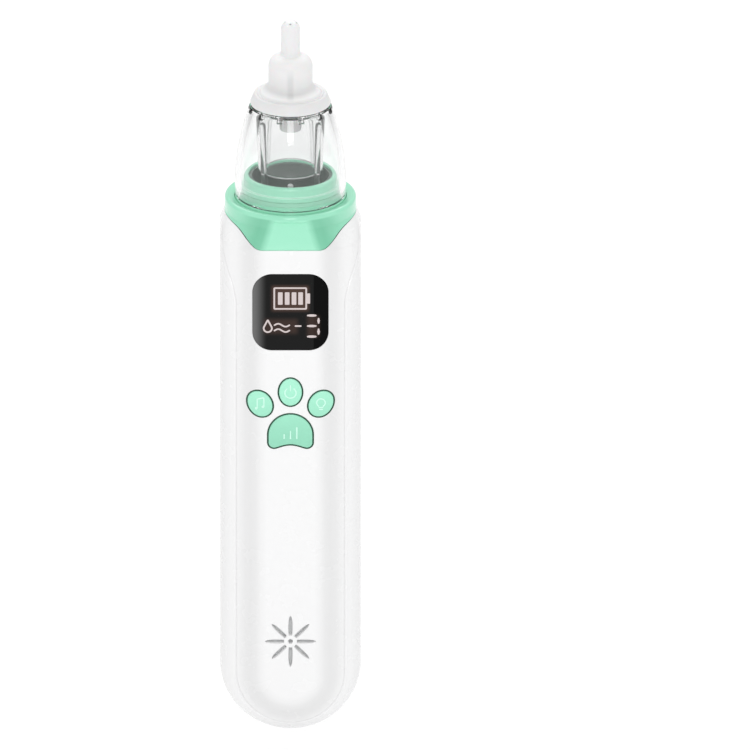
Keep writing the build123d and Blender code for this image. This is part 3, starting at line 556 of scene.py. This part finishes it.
quarter_share = np.concatenate(
    [np.linspace(0, 1, 5)[:-1], np.linspace(1, 2, 40)[:-1], np.linspace(2, 3, 16)[:-1]]
)
share = np.concatenate([quarter_share, 3 - quarter_share, quarter_share, 3 - quarter_share])
steps = len(quarter_share)
sign_x = np.repeat([1, -1, -1, 1], steps)
sign_y = np.repeat([1, 1, -1, -1], steps)


def softer(value, limit, blend):
    """The smaller of two values, with their corner rounded over a blend length."""
    return -blend * np.log(np.exp(-value / blend) + np.exp(-limit / blend))


def collar_row(z, inset, bore):
    """One ring of the collar at a height: the handle's section set in, its front and rear clipped by the
    bib's flat face, and drawn in to the round bore where bore is 1."""
    half_x, half_y, bend = form_sizes(z)
    half_x = (half_x - inset) * (1 - bore) + collar_bore * bore
    half_y = (half_y - inset) * (1 - bore) + collar_bore * bore
    bend = (bend - inset) * (1 - bore) + (collar_bore - 0.001) * bore
    x, y, _, _ = quarter(share, half_x, half_y, bend)
    face = half_depth + 0.22 - 1.55 * np.clip((z - bib_low) / 8.2, 0, 1) + 3.0 * eased(z, 150.1, 150.9)
    y = -softer(-y, face - inset, 0.16)
    return np.stack([x * sign_x, y * sign_y, z + 0 * x], axis=-1)


collar_bore = 15.1
rim_roll = 0.9
low_edge = edge_height(share, 0.0)
band_top = collar_top - rim_roll
climb = np.concatenate([[0.0, 0.0], np.linspace(0, 1, 26) ** 1.1])
inset = np.concatenate([[1.2, 0.2], [0.06, 0.0, -0.02], np.full(23, -0.02)])
rows = [collar_row(low_edge + (band_top - low_edge) * c + 0.12 * (i < 0.1) * (c < 0.02), i, 0.0)
        for c, i in zip(climb, inset)]
roll = np.radians(np.linspace(10, 90, 8))
rows += [collar_row(band_top + rim_roll * np.sin(a) + 0 * share, rim_roll * (1 - np.cos(a)), 0.0)
         for a in roll]
rows += [collar_row(z + 0 * share, 0.0, 1.0) for z in (collar_top - 0.5, 150.0, 147.0, 144.0)]
collar = skin("collar_skin", np.stack(rows) * 0.001, mint_finish, around=True, along=True)
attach(collar, "root")
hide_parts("collar")

# ---- Base ring ----------------------------------------------------------------------------------
# A turned mint ring in two steps that the clear head pushes onto, with a soft seal in a groove.


def rounded(corners, bends, steps=7):
    """A chain of corners, (radius, height) in millimetres, with each corner swapped for an arc of its
    own bend: the arc starts and ends where it touches the two straight runs."""
    corners = np.array(corners, float)
    before = np.roll(corners, 1, axis=0) - corners
    after = np.roll(corners, -1, axis=0) - corners
    before = before / np.linalg.norm(before, axis=1, keepdims=True)
    after = after / np.linalg.norm(after, axis=1, keepdims=True)
    half = np.arccos(np.clip((before * after).sum(1), -1, 1)) / 2
    bends = np.maximum(np.array(bends, float), 1e-4)
    run = bends / np.tan(half)
    middle = (before + after) / np.linalg.norm(before + after, axis=1, keepdims=True)
    centre = corners + middle * (bends / np.sin(half))[:, None]
    start = corners + before * run[:, None] - centre
    end = corners + after * run[:, None] - centre
    angle = np.arctan2(start[:, 1], start[:, 0])
    sweep = (np.arctan2(end[:, 1], end[:, 0]) - angle + np.pi) % (2 * np.pi) - np.pi
    turn = angle[:, None] + sweep[:, None] * np.linspace(0, 1, steps)[None, :]
    arc = centre[:, None, :] + bends[:, None, None] * np.stack([np.cos(turn), np.sin(turn)], axis=-1)
    return arc.reshape(-1, 2)


def turned(name, profile, material, count=160, closed=True, crease=sharp_from):
    """A profile of (radius, height) points turned round the long axis."""
    turn = np.linspace(0, 2 * np.pi, count, endpoint=False)
    r, z = np.array(profile, float).T[:, :, None]
    grid = np.stack([r * np.cos(turn), r * np.sin(turn), z + 0 * turn], axis=-1)
    return skin(name, grid * 0.001, material, around=True, along=closed, crease=crease)


ring_low, ring_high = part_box("base_ring")
ring_top = ring_high.z * 1000
flange = ring_high.x * 1000
ring_corners = [
    (11.2, ring_top), (12.6, ring_top), (12.6, 155.7), (13.2, 155.7), (13.2, 154.4), (12.3, 154.4),
    (12.3, 153.2), (13.2, 153.2), (13.2, collar_top), (flange, collar_top), (flange, ring_low.z * 1000),
    (9.0, ring_low.z * 1000), (9.0, 148.0), (11.2, 148.0),
]
ring_bends = [0.35, 0.95, 0.12, 0.18, 0.1, 0.05, 0.05, 0.1, 0.2, 0.25, 0.3, 0.2, 0.1, 0.1]
base_ring = turned("base_ring_skin", rounded(ring_corners, ring_bends), mint_finish)
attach(base_ring, "root")
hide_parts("base_ring")

# ---- Clear head ---------------------------------------------------------------------------------
# One polished bell of clear plastic with a notched deck on top, and a clear inner tube with four long
# ribs that reach down into the well.

clear_finish, clear_shader, place = finish_of("clear_plastic", Transmission_Weight=0.985, IOR=1.49)
# Painted shade: the clear plastic's base colour greys where the surface turns edge-on, drawing a dark
# outline that stands in for the surroundings seen by refraction.
edge_on = place.put("LayerWeight", {"Blend": 0.5}, out="Facing")
painted_edge_shade = edge_on.tones((0.0, 0.99), (0.62, 0.985), (0.80, 0.955), (0.95, 0.86))
painted_edge_shade.times(place.noise(300.0, 2.0).mix((0.985, 0.99, 0.99, 1), (1.0, 1.0, 1.0, 1))).feed(
    clear_shader, "Base Color"
)
(0.004 + 0.01 * place.noise(500.0, 2.0)).feed(clear_shader, "Roughness")
grain(clear_shader, place.noise(120.0, 1.0), 0.0000008)
light_passes = place.put("LightPath", {}, out="Is Shadow Ray")
open_way = place.put("BsdfTransparent", {"Color": (0.94, 0.95, 0.95, 1)})
surface = Wire(place.tree, clear_shader.outputs[0])
mixed = place.put("MixShader", {0: light_passes, 1: surface, 2: open_way})
mixed.feed(place.tree.nodes["Material Output"], "Surface")

dome_low, dome_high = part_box("clear_dome")
skirt_z = dome_low.z * 1000
deck_z = dome_high.z * 1000
crown_z = deck_z - 0.5
bow_start = skirt_z + 3.4
crown_r = 11.05


def bow(low, high, start_r, end_r, count=28):
    """A circle's arc that leaves a straight skirt without a corner, from one radius and height to
    another."""
    rise, fall = high - low, start_r - end_r
    circle = (rise**2 + fall**2) / (2 * fall)
    z = np.linspace(low, high, count)
    return np.stack([start_r - circle + np.sqrt(circle**2 - (z - low) ** 2), z], axis=-1)


outer = bow(bow_start, crown_z, flange, crown_r)
inner = bow(155.85, deck_z - 1.5, 13.28, crown_r - 1.6)[::-1]
dome_profile = np.concatenate([
    [(13.5, skirt_z), (flange - 0.25, skirt_z), (flange - 0.07, skirt_z + 0.07), (flange, skirt_z + 0.25)],
    outer[:-1],
    [(crown_r, crown_z - 0.1), (crown_r - 0.12, crown_z), (10.5, crown_z), (10.4, crown_z + 0.05),
     (10.4, deck_z - 0.1), (10.3, deck_z), (3.12, deck_z), (3.12, deck_z - 1.5)],
    inner,
    [(13.28, skirt_z + 0.2)],
])
dome = turned("clear_dome_skin", dome_profile, clear_finish, count=192, crease=50.0)


def joined(pieces):
    """Several pieces made one, in the first one's place."""
    bpy.ops.object.select_all(action="DESELECT")
    for piece in pieces:
        piece.select_set(True)
    bpy.context.view_layer.objects.active = pieces[0]
    bpy.ops.object.join()
    return pieces[0]


notch_turn = np.linspace(0, 2 * np.pi, 12, endpoint=False) + np.pi / 12
corner = np.array([(10.35, -0.8), (10.35, 0.8), (11.4, 0.8), (11.4, -0.8)])
notches = []
for turn in notch_turn:
    foot = np.stack([corner[:, 0] * np.cos(turn) - corner[:, 1] * np.sin(turn),
                     corner[:, 0] * np.sin(turn) + corner[:, 1] * np.cos(turn)], axis=-1)
    levels = [(foot * 0 + foot.mean(0), crown_z - 1.3), (foot, crown_z - 1.3), (foot, crown_z + 0.6),
              (foot * 0 + foot.mean(0), crown_z + 0.6)]
    grid = np.stack([np.column_stack([o, np.full(4, h)]) for o, h in levels])
    notches.append(skin("notch", grid * 0.001, clear_finish, around=True))
cut(dome, joined(notches))
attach(dome, "head")
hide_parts("clear_dome")

cup_low, cup_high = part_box("collection_cup")
tube_low = cup_high.z * 1000 - 17.0
tube_top = cup_high.z * 1000 - 0.05
tube_corners = [(7.55, tube_low), (8.75, tube_low), (9.17, tube_top), (7.97, tube_top)]
tube = rounded(tube_corners, [0.3, 0.3, 0.1, 0.1])
cup = turned("collection_cup_skin", tube, clear_finish, count=144, crease=50.0)


def rod(name, centre, radius, low, high, material, count=24):
    """An upright round rod with a domed top and a flat foot."""
    cap = np.radians(np.linspace(0, 90, 8))
    r = np.concatenate([[0.0, radius], radius * np.cos(cap)])[:, None]
    z = np.concatenate([[low, low], high - radius + radius * np.sin(cap)])[:, None]
    turn = np.linspace(0, 2 * np.pi, count, endpoint=False)
    grid = np.stack([centre[0] + r * np.cos(turn), centre[1] + r * np.sin(turn), z + 0 * turn], axis=-1)
    return skin(name, grid * 0.001, material, around=True)


rib_top = cup_high.z * 1000 - 1.8
rib_x, rib_y, rib_radius = 6.96, 5.7, 0.85
ribs = [rod("rib", (rib_x * sx, rib_y * sy), rib_radius, cup_low.z * 1000, rib_top, clear_finish)
        for sx in (-1, 1) for sy in (-1, 1)]
cup = joined([cup, *ribs])
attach(cup, "head")
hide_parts("collection_cup")

# ---- Nozzle -------------------------------------------------------------------------------------
# One soft milky silicone moulding: a round tip, a bulb, a bell with a rim that sits on the deck, and
# a spigot through it. A narrow channel runs from tip to spigot.

silicone_finish, silicone_shader, place = finish_of(
    "milky_silicone", Transmission_Weight=0.08, IOR=1.41, Subsurface_Weight=0.12,
    Subsurface_Scale=0.002, Coat_Weight=0.1, Coat_Roughness=0.3,
)
across, _, up = place.split()
# Painted shade and highlight by height: darker over the bell, a bright line and then a dark band where the
# bell meets the bulb, and lighter towards the tip.
height = ((up * 1000) - 176.0) * (1 / 26)
painted_height_shade = height.tones(
    (0.0, 0.95), (0.07, 0.95), (0.09, 0.90), (0.12, 0.86), (0.195, 0.82), (0.225, 0.95), (0.262, 0.76),
    (0.33, 0.86), (0.45, 0.91), (0.62, 0.91), (0.70, 0.92), (0.80, 0.92), (1.0, 0.925),
)
bore_side = 1 - abs(across * 1000).step(0.3, 1.3)
bore_run = (up * 1000).step(181.2, 182.4) * (1 - (up * 1000).step(186.5, 190.5))
bore_shade = (bore_side * bore_run).tones((0.0, 1.0), (1.0, 0.88))
milk = place.noise(350.0, 3.0).mix((0.96, 0.96, 0.962, 1), (0.98, 0.98, 0.982, 1))
milk.times(painted_height_shade).times(bore_shade).feed(silicone_shader, "Base Color")
(0.34 + 0.12 * place.noise(700.0, 3.0)).feed(silicone_shader, "Roughness")
grain(silicone_shader, place.noise(5000.0, 2.0), 0.000008)

nozzle_low, nozzle_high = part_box("nozzle")
tip_z = nozzle_high.z * 1000
foot_z = nozzle_low.z * 1000
seat_z = tip_z - 23.9
tip_r = 2.58
bulb_r = 5.95


def arc(centre, half_r, half_z, start, end, count=14):
    """Points on an ellipse, from one angle to another."""
    turn = np.radians(np.linspace(start, end, count))
    return np.stack([centre[0] + half_r * np.cos(turn), centre[1] + half_z * np.sin(turn)], axis=-1)


nozzle_profile = np.concatenate([
    [(1.05, foot_z), (2.8, foot_z)],
    arc((2.82, foot_z + 0.2), 0.2, 0.2, -80, 0, 4),
    [(3.02, seat_z - 0.3), (3.2, seat_z + 0.02), (10.5, seat_z)],
    arc((10.45, seat_z + 0.4), 0.4, 0.4, -80, 10, 6),
    arc((9.35, seat_z + 2.55), 0.55, 0.5, 20, 90, 6),
    arc((9.05, seat_z + 3.05), 0.25, 0.22, 270, 180, 5)[1:],
    arc((6.0, seat_z + 0.6), 3.0, 3.95, 38, 66, 9),
    arc((7.25, seat_z + 6.0), 1.3, 1.6, 228, 180, 8),
    [(bulb_r, seat_z + 8.6)],
    arc((bulb_r - 3.15, seat_z + 10.75), 3.15, 3.15, 0, 76, 18),
    arc((tip_r + 1.35, seat_z + 15.0), 1.35, 1.55, 222, 180, 8),
    arc((0.0, tip_z - tip_r), tip_r, tip_r, 0, 70, 12),
    arc((0.0, tip_z - tip_r), tip_r, tip_r, 72, 90, 4),
])
channel = np.array([(0.0, tip_z - 2.0), (0.55, tip_z - 2.15), (0.95, tip_z - 2.8), (0.95, seat_z + 14.0),
                    (1.5, seat_z + 10.5), (1.15, seat_z + 6.0), (0.95, seat_z + 1.0), (0.95, foot_z)])
nozzle = turned("nozzle_skin", np.concatenate([nozzle_profile, channel]), silicone_finish, closed=False,
                crease=55.0)
hole_turns = np.radians(270 + 72 * np.arange(5))
hole_lean = np.radians(42)
hole_radius = 0.3
for turn in hole_turns:
    aim = np.array([np.sin(hole_lean) * np.cos(turn), np.sin(hole_lean) * np.sin(turn), np.cos(hole_lean)])
    side = np.cross(aim, (0, 0, 1))
    side = side / np.linalg.norm(side)
    above = np.cross(side, aim)
    start = np.array([0, 0, tip_z - tip_r])
    ring_turn = np.linspace(0, 2 * np.pi, 20, endpoint=False)[:, None]
    ring = hole_radius * (np.cos(ring_turn) * side + np.sin(ring_turn) * above)
    levels = [start + aim * d for d in (1.9, 1.9, 3.2, 3.2)]
    drill = np.stack([level + ring * grow for level, grow in zip(levels, (0, 1, 1, 0))])
    cut(nozzle, skin("drill", drill * 0.001, silicone_finish, around=True))
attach(nozzle, "nozzle_body")
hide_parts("nozzle")

# ---- Display ------------------------------------------------------------------------------------
# A dark polished window set flush in the shell. Its signs glow warm white: a battery, a drop drawn
# in by air, and the level number in bars.

lens_finish, lens_shader, place = finish_of("dark_window", Specular_IOR_Level=0.08, IOR=1.5)
across, _, up = place.split()
# Painted reflection: a grey band fading in on the window's left and a deeper black on its right, as the
# room would mirror in the polished window.
left_reflection = 1 - (across * 1000).step(-10.4, -6.2)
right_dark_reflection = (across * 1000).step(6.15, 6.3)
tone = left_reflection.mix((0.0105, 0.0105, 0.0105, 1), (0.16, 0.16, 0.16, 1))
tone = right_dark_reflection.mix(tone, (0.0008, 0.0008, 0.0008, 1))


def glow_box(centre_x, centre_z, half_x, half_z, soft):
    """A soft-edged box of glow on the window, in millimetres."""
    beside = abs(across * 1000 - centre_x)
    above = abs(up * 1000 - centre_z)
    return (1 - beside.step(half_x, half_x + soft)) * (1 - above.step(half_z, half_z + soft))


glow = glow_box(-0.05, lens_z + 3.98, 4.2, 2.9, 1.5) + 0.55 * glow_box(-2.6, lens_z - 4.1, 3.6, 1.2, 1.8)
glow = glow + 0.5 * glow_box(6.1, lens_z - 4.0, 0.8, 2.2, 1.6)
glow.mix(tone, (0.075, 0.045, 0.036, 1)).feed(lens_shader, "Base Color")
(0.05 + 0.04 * place.noise(400.0, 2.0)).feed(lens_shader, "Roughness")


def face_depth(x):
    """Depth of the handle's front surface at a distance from the middle: flat, then round the edge."""
    past = np.clip(np.abs(x) - (half_width - edge_round), 0, edge_round)
    return -(half_depth - edge_round) - np.sqrt(edge_round**2 - past**2)


def on_face(outline, lift):
    """An outline of (x, z) points laid on the handle's front and lifted off it."""
    return np.stack([outline[:, 0], face_depth(outline[:, 0]) - lift, outline[:, 1]], axis=-1)


def pad(name, outline, steps, material, proud=0.0):
    """A cap that follows the handle's front: each step is (grow, lift), the outline grown or shrunk and
    lifted off the surface, and the last step closes to the middle in rings."""
    rings = [on_face(grown(outline, grow), lift) for grow, lift in steps]
    edge = grown(outline, steps[-1][0])
    centre = outline.mean(0)
    for share_in in (0.85, 0.7, 0.55, 0.4, 0.25, 0.12, 0.0):
        lift = steps[-1][1] + proud * (1 - share_in**2)
        rings.append(on_face(centre + (edge - centre) * share_in, lift))
    base = np.broadcast_to((centre[0], rings[0][:, 1].max(), centre[1]), rings[0].shape)
    return skin(name, np.stack([base, *rings]) * 0.001, material, around=True)


lens_steps = [(0.0, -1.6), (0.0, -0.12), (-0.04, -0.04), (-0.14, 0.0), (-0.4, 0.0), (-1.2, 0.0)]
lens = pad("display_lens_skin", lens_outline, lens_steps, lens_finish)
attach(lens, "root")
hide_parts("display_lens")

sign_finish, sign_shader, place = finish_of(
    "lit_sign", Emission_Strength=1.0, Roughness=0.4,
)
flicker = place.noise(3000.0, 1.0)
flicker.mix((0.50, 0.43, 0.425, 1), (0.62, 0.54, 0.535, 1)).feed(sign_shader, "Emission Color")
flicker.mix((0.10, 0.09, 0.09, 1), (0.12, 0.11, 0.11, 1)).feed(sign_shader, "Base Color")


def stroke(name, points, width, material, lift, taper=1.0, height=0.05, closed=False):
    """A flat rounded bead carried along a line of (x, z) points on the handle's front. taper below 1
    narrows the two ends."""
    points = np.array(points, float)
    if closed:
        points = np.concatenate([points, points[:1]])
    walk = np.concatenate([[0], np.cumsum(np.hypot(*np.diff(points, axis=0).T))])
    spots = np.linspace(0, walk[-1], max(8, int(walk[-1] / 0.12)))
    line = np.stack([np.interp(spots, walk, points[:, 0]), np.interp(spots, walk, points[:, 1])], axis=-1)
    ahead = np.gradient(line, axis=0)
    ahead = ahead / np.maximum(np.linalg.norm(ahead, axis=1, keepdims=True), 1e-9)
    side = np.stack([-ahead[:, 1], ahead[:, 0]], axis=-1)
    size = np.full(len(line), width / 2)
    if not closed:
        near = np.minimum(spots, walk[-1] - spots)
        size = size * (taper + (1 - taper) * eased(near, 0, width))
        cap = np.radians(np.linspace(90, 15, 5))
        head = line[0] - ahead[0] * (size[0] * np.sin(cap))[:, None]
        tail = line[-1] + ahead[-1] * (size[-1] * np.sin(cap[::-1]))[:, None]
        line = np.concatenate([head, line, tail])
        side = np.concatenate([np.repeat(side[:1], 5, 0), side, np.repeat(side[-1:], 5, 0)])
        size = np.concatenate([size[0] * np.cos(cap), size, size[-1] * np.cos(cap[::-1])])
    round_turn = np.linspace(0, 2 * np.pi, 10, endpoint=False)
    spread = size[:, None] * np.cos(round_turn)
    x = line[:, :1] + side[:, :1] * spread
    z = line[:, 1:] + side[:, 1:] * spread
    high = height * np.minimum(1, size[:, None] / (width / 2)) * np.sin(round_turn)
    grid = np.stack([x, face_depth(x) - lift - high, z], axis=-1) * 0.001
    return skin(name, grid, material, around=True, along=closed, crease=60.0)


def bar(name, centre, width, height, material, lift):
    """A small upright block with soft corners on the handle's front."""
    outline = rounded_box(width, height, 0.12, 48) + centre
    return pad(name, outline, [(0.0, lift - 0.06), (0.0, lift + 0.02), (-0.04, lift + 0.04)], material)


sign_lift = 0.0
case_x, case_z = -0.06, lens_z + 3.98
case = rounded_box(8.58, 6.0, 0.15, 200) + (case_x, case_z)
signs = [stroke("battery_case", case, 0.45, sign_finish, sign_lift, closed=True)]
signs += [bar("battery_bar", (x, case_z), 1.26, 3.6, sign_finish, sign_lift)
          for x in (-2.74, -0.89, 0.95, 2.72)]
signs.append(bar("battery_nub", (4.86, case_z), 0.82, 2.95, sign_finish, sign_lift))
digit_x, digit_z = 5.72, lens_z - 3.98
signs += [stroke("digit_bar", [(digit_x - 1.05, digit_z + h), (digit_x + 1.05, digit_z + h)], 0.70,
                 sign_finish, sign_lift, taper=0.7) for h in (-3.06, 0.0, 3.04)]
signs += [stroke("digit_bar", [(digit_x + 1.83, digit_z + low), (digit_x + 1.83, digit_z + high)], 0.78,
                 sign_finish, sign_lift, taper=0.6) for low, high in ((-2.3, -0.95), (0.9, 2.1))]
drop = np.concatenate([[(0.0, 2.05)], arc((0.0, -0.35), 1.1, 1.1, 28, -208, 40)])
signs.append(stroke("drop", drop + (-6.1, lens_z - 4.3), 0.46, sign_finish, sign_lift, closed=True))
wave_x = np.linspace(-4.3, -0.3, 30)
wave = np.stack([wave_x, 0.42 * np.sin((wave_x + 4.3) / 4.0 * 2 * np.pi)], axis=-1)
signs += [stroke("air", wave + (0, lens_z - 4.3 + rise), 0.44, sign_finish, sign_lift)
          for rise in (-1.0, 0.55)]
signs.append(stroke("dash", [(1.35, lens_z - 4.0), (2.75, lens_z - 4.0)], 0.46, sign_finish, sign_lift))
signs = joined(signs)
signs.name = "display_signs"
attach(signs, "root")

# ---- Buttons ------------------------------------------------------------------------------------
# Four mint caps like a paw print, each in a dark rubber rim, with fine printed signs: power, a note,
# a lamp, and three rising bars for the suction level.

rim_finish, rim_shader, place = finish_of("dark_rim", IOR=1.45)
rim_tone = place.noise(900.0, 3.0).mix((0.012, 0.062, 0.034, 1), (0.02, 0.085, 0.048, 1))
rim_tone.feed(rim_shader, "Base Color")
(0.42 + 0.15 * place.noise(1500.0, 2.0)).feed(rim_shader, "Roughness")

cap_finish, cap_shader, place = finish_of(
    "mint_button", Coat_Weight=0.25, Coat_Roughness=0.15, IOR=1.5,
)
_, _, up = place.split()
# Painted shade: the caps' mint is darker low on the handle and lighter higher up, by height.
shade = (up * 1000).step(84.0, 106.0)
height_shaded_mint = shade.mix((0.27, 0.66, 0.47, 1), (0.42, 0.90, 0.67, 1))
(0.35 * place.noise(500.0, 3.0)).mix(height_shaded_mint, (0.36, 0.86, 0.62, 1)).feed(cap_shader, "Base Color")
(0.32 + 0.10 * place.noise(1500.0, 2.0)).feed(cap_shader, "Roughness")
grain(cap_shader, place.noise(9000.0, 2.0), 0.000005)

print_finish, print_shader, place = finish_of("sign_print", Roughness=0.35)
print_tone = place.noise(2000.0, 1.0).mix((0.60, 0.97, 0.80, 1), (0.66, 0.98, 0.84, 1))
print_tone.feed(print_shader, "Base Color")

rim_section = [(0.10, -1.3), (0.10, -0.05), (0.16, 0.02), (0.26, 0.05), (0.38, 0.04), (0.46, -0.01),
               (0.46, -1.3)]
rims = []
for name, outline in button_outlines.items():
    loops = [on_face(grown(outline, grow), lift) for grow, lift in rim_section]
    rims.append(skin(f"{name}_rim", np.stack(loops) * 0.001, rim_finish, around=True, along=True))
rims = joined(rims)
rims.name = "button_rims"
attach(rims, "root")
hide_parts("button_bezel")

cap_steps = [(0.0, -2.8), (0.0, 0.08), (-0.05, 0.19), (-0.16, 0.27), (-0.35, 0.31), (-0.7, 0.33)]
cap_crown = 0.05
sign_width = {"power": 0.36, "music": 0.36, "light": 0.36, "level": 0.42}
sign_rise = 0.355


def cap_signs(name, x, z):
    """The lines of one button's sign, (x, z) in millimetres."""
    if name == "power":
        return [arc((x, z - 0.1), 1.5, 1.5, 128, 412, 40), [(x, z + 0.5), (x, z + 2.0)]]
    if name == "music":
        feet = ((-0.75, 0.0), (1.05, 0.45))
        stems = [[(x + a, z - 1.15 + b), (x + a, z + 1.45 + b)] for a, b in feet]
        heads = [arc((x + a - 0.28, z - 1.2 + b), 0.22, 0.22, 0, 360, 16) for a, b in feet]
        return stems + heads + [[(x - 0.75, z + 1.45), (x + 1.05, z + 1.9)]]
    if name == "light":
        return [arc((x, z + 0.4), 1.15, 1.15, -58, 238, 40), [(x - 0.5, z - 0.95), (x + 0.5, z - 0.95)],
                [(x - 0.4, z - 1.5), (x + 0.4, z - 1.5)]]
    return [[(x + a, z - 1.5), (x + a, z - 1.5 + h)] for a, h in ((-1.7, 1.1), (0.0, 2.1), (1.7, 3.1))]


for name, outline in button_outlines.items():
    cap = pad(f"{name}_button_skin", outline, cap_steps, cap_finish, proud=cap_crown)
    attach(cap, f"{name}_key")
    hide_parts(f"{name}_button")
    x, z = centre_of(f"{name}_button") if name != "level" else (0.0, level_z + 0.6)
    lines = [stroke("line", line, sign_width[name], print_finish, sign_rise, height=0.035)
             for line in cap_signs(name, x, z)]
    sign = joined(lines)
    sign.name = f"{name}_sign"
    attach(sign, f"{name}_key")

# ---- Charging cover -----------------------------------------------------------------------------
# A soft white flap at the back, flush with the shell, with a small locating plug behind it.

cover_steps = [(0.0, 0.0), (0.0, 0.62), (-0.05, 0.74), (-0.2, 0.8), (-0.6, 0.8)]
plug = rounded_box(8.2, 2.4, 1.1, 120) + (0, port_z)
levels = [(plug * 0 + (0, port_z), -0.6), (plug, -0.6), (plug, 0.0), (cover_outline, 0.0)]
levels += [(grown(cover_outline, g), d) for g, d in cover_steps]
levels += [(cover_outline * 0 + (0, port_z), 0.8)]
cover_back = half_depth - 0.8
grid = np.stack([np.stack([o[:, 0], cover_back + d + 0 * o[:, 0], o[:, 1]], axis=-1) for o, d in levels])
cover_finish, cover_shader, place = finish_of("soft_cover", IOR=1.41, Subsurface_Weight=0.1,
                                              Subsurface_Scale=0.001)
place.noise(400.0, 3.0).mix((0.84, 0.84, 0.845, 1), (0.87, 0.87, 0.875, 1)).feed(cover_shader, "Base Color")
(0.50 + 0.12 * place.noise(1200.0, 2.0)).feed(cover_shader, "Roughness")
grain(cover_shader, place.noise(7000.0, 2.0), 0.00001)
cover = skin("port_cover_skin", grid * 0.001, cover_finish, around=True)
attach(cover, "port_flap")
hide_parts("port_cover")

# ---- Pieces inside ------------------------------------------------------------------------------
# The well, valve and seal under the clear head, and the boards, cell, motor and pump in the handle.
# Their shapes are the working ones, each with the finish of its stock.


def plain(name, dark, light, roughness, scale=600.0, depth=0.000006, stretch=(1, 1, 1), **constants):
    """A moulded or drawn stock: two close tones, a roughness that wanders, and a fine grain."""
    material, shader, place = finish_of(name, **constants)
    place.noise(scale, 3.0, stretch).mix((*dark, 1), (*light, 1)).feed(shader, "Base Color")
    (roughness - 0.06 + 0.12 * place.noise(scale * 2, 2.0, stretch)).feed(shader, "Roughness")
    grain(shader, place.noise(scale * 8, 2.0, stretch), depth)
    return material


board_finish, board_shader, place = finish_of("solder_mask", Coat_Weight=0.4, Coat_Roughness=0.2)
tracks = place.put("TexBrick", {"Vector": place, "Scale": 420.0, "Mortar Size": 0.03,
                                "Color1": (0.006, 0.10, 0.04, 1), "Color2": (0.008, 0.13, 0.05, 1),
                                "Mortar": (0.02, 0.22, 0.09, 1)})
tracks.feed(board_shader, "Base Color")
(0.3 + 0.1 * place.noise(800.0, 2.0)).feed(board_shader, "Roughness")

winding_finish, winding_shader, place = finish_of("copper_winding", Metallic=0.9)
turns = place.put("TexWave", {"Vector": place, "Scale": 900.0, "Distortion": 0.6}, out=1,
                  bands_direction="Z")
turns.mix((0.40, 0.14, 0.05, 1), (0.80, 0.36, 0.16, 1)).feed(winding_shader, "Base Color")
(0.25 + 0.15 * turns).feed(winding_shader, "Roughness")

finishes = {
    "dark_silicone": plain("dark_silicone", (0.040, 0.085, 0.062), (0.055, 0.105, 0.080), 0.40),
    "mint_seal": plain("seal_silicone", (0.29, 0.66, 0.48), (0.35, 0.74, 0.54), 0.45),
    "soft_white": cover_finish,
    "clear": plain("lamp_lens", (0.80, 0.83, 0.82), (0.92, 0.95, 0.94), 0.12, Coat_Weight=0.6),
    "board_green": board_finish,
    "black_part": plain("black_moulding", (0.010, 0.010, 0.011), (0.022, 0.022, 0.024), 0.45),
    "dark_green": rim_finish,
    "steel": plain("plated_steel", (0.50, 0.50, 0.52), (0.66, 0.66, 0.68), 0.28, stretch=(1, 1, 0.08),
                   Metallic=1.0),
    "grey_part": plain("grey_moulding", (0.16, 0.165, 0.17), (0.21, 0.215, 0.22), 0.5),
    "felt": plain("acoustic_felt", (0.62, 0.63, 0.63), (0.80, 0.81, 0.81), 0.9, scale=2500.0,
                  depth=0.00004),
    "battery_wrap": plain("cell_wrap", (0.02, 0.11, 0.34), (0.03, 0.15, 0.42), 0.25, Coat_Weight=0.5),
    "magnet": plain("ferrite", (0.014, 0.014, 0.015), (0.03, 0.03, 0.032), 0.6),
    "bronze": plain("sintered_bronze", (0.42, 0.26, 0.11), (0.60, 0.40, 0.19), 0.4, Metallic=1.0),
    "copper": winding_finish,
    "silicone": plain("hose_silicone", (0.72, 0.73, 0.74), (0.84, 0.85, 0.86), 0.4,
                      Transmission_Weight=0.3),
}
replaced = {"front_shell", "rear_shell", "collar", "base_ring", "clear_dome", "collection_cup", "nozzle",
            "display_lens", "button_bezel", "port_cover", *(f"{name}_button" for name in button_outlines)}
slot_of = {entry["node"]: entry["material_slot"] for entry in frame["record"]["subparts"]}
for node, piece in frame["nodes"].items():
    if node not in replaced:
        piece.data.materials.clear()
        piece.data.materials.append(finishes[slot_of[node]])
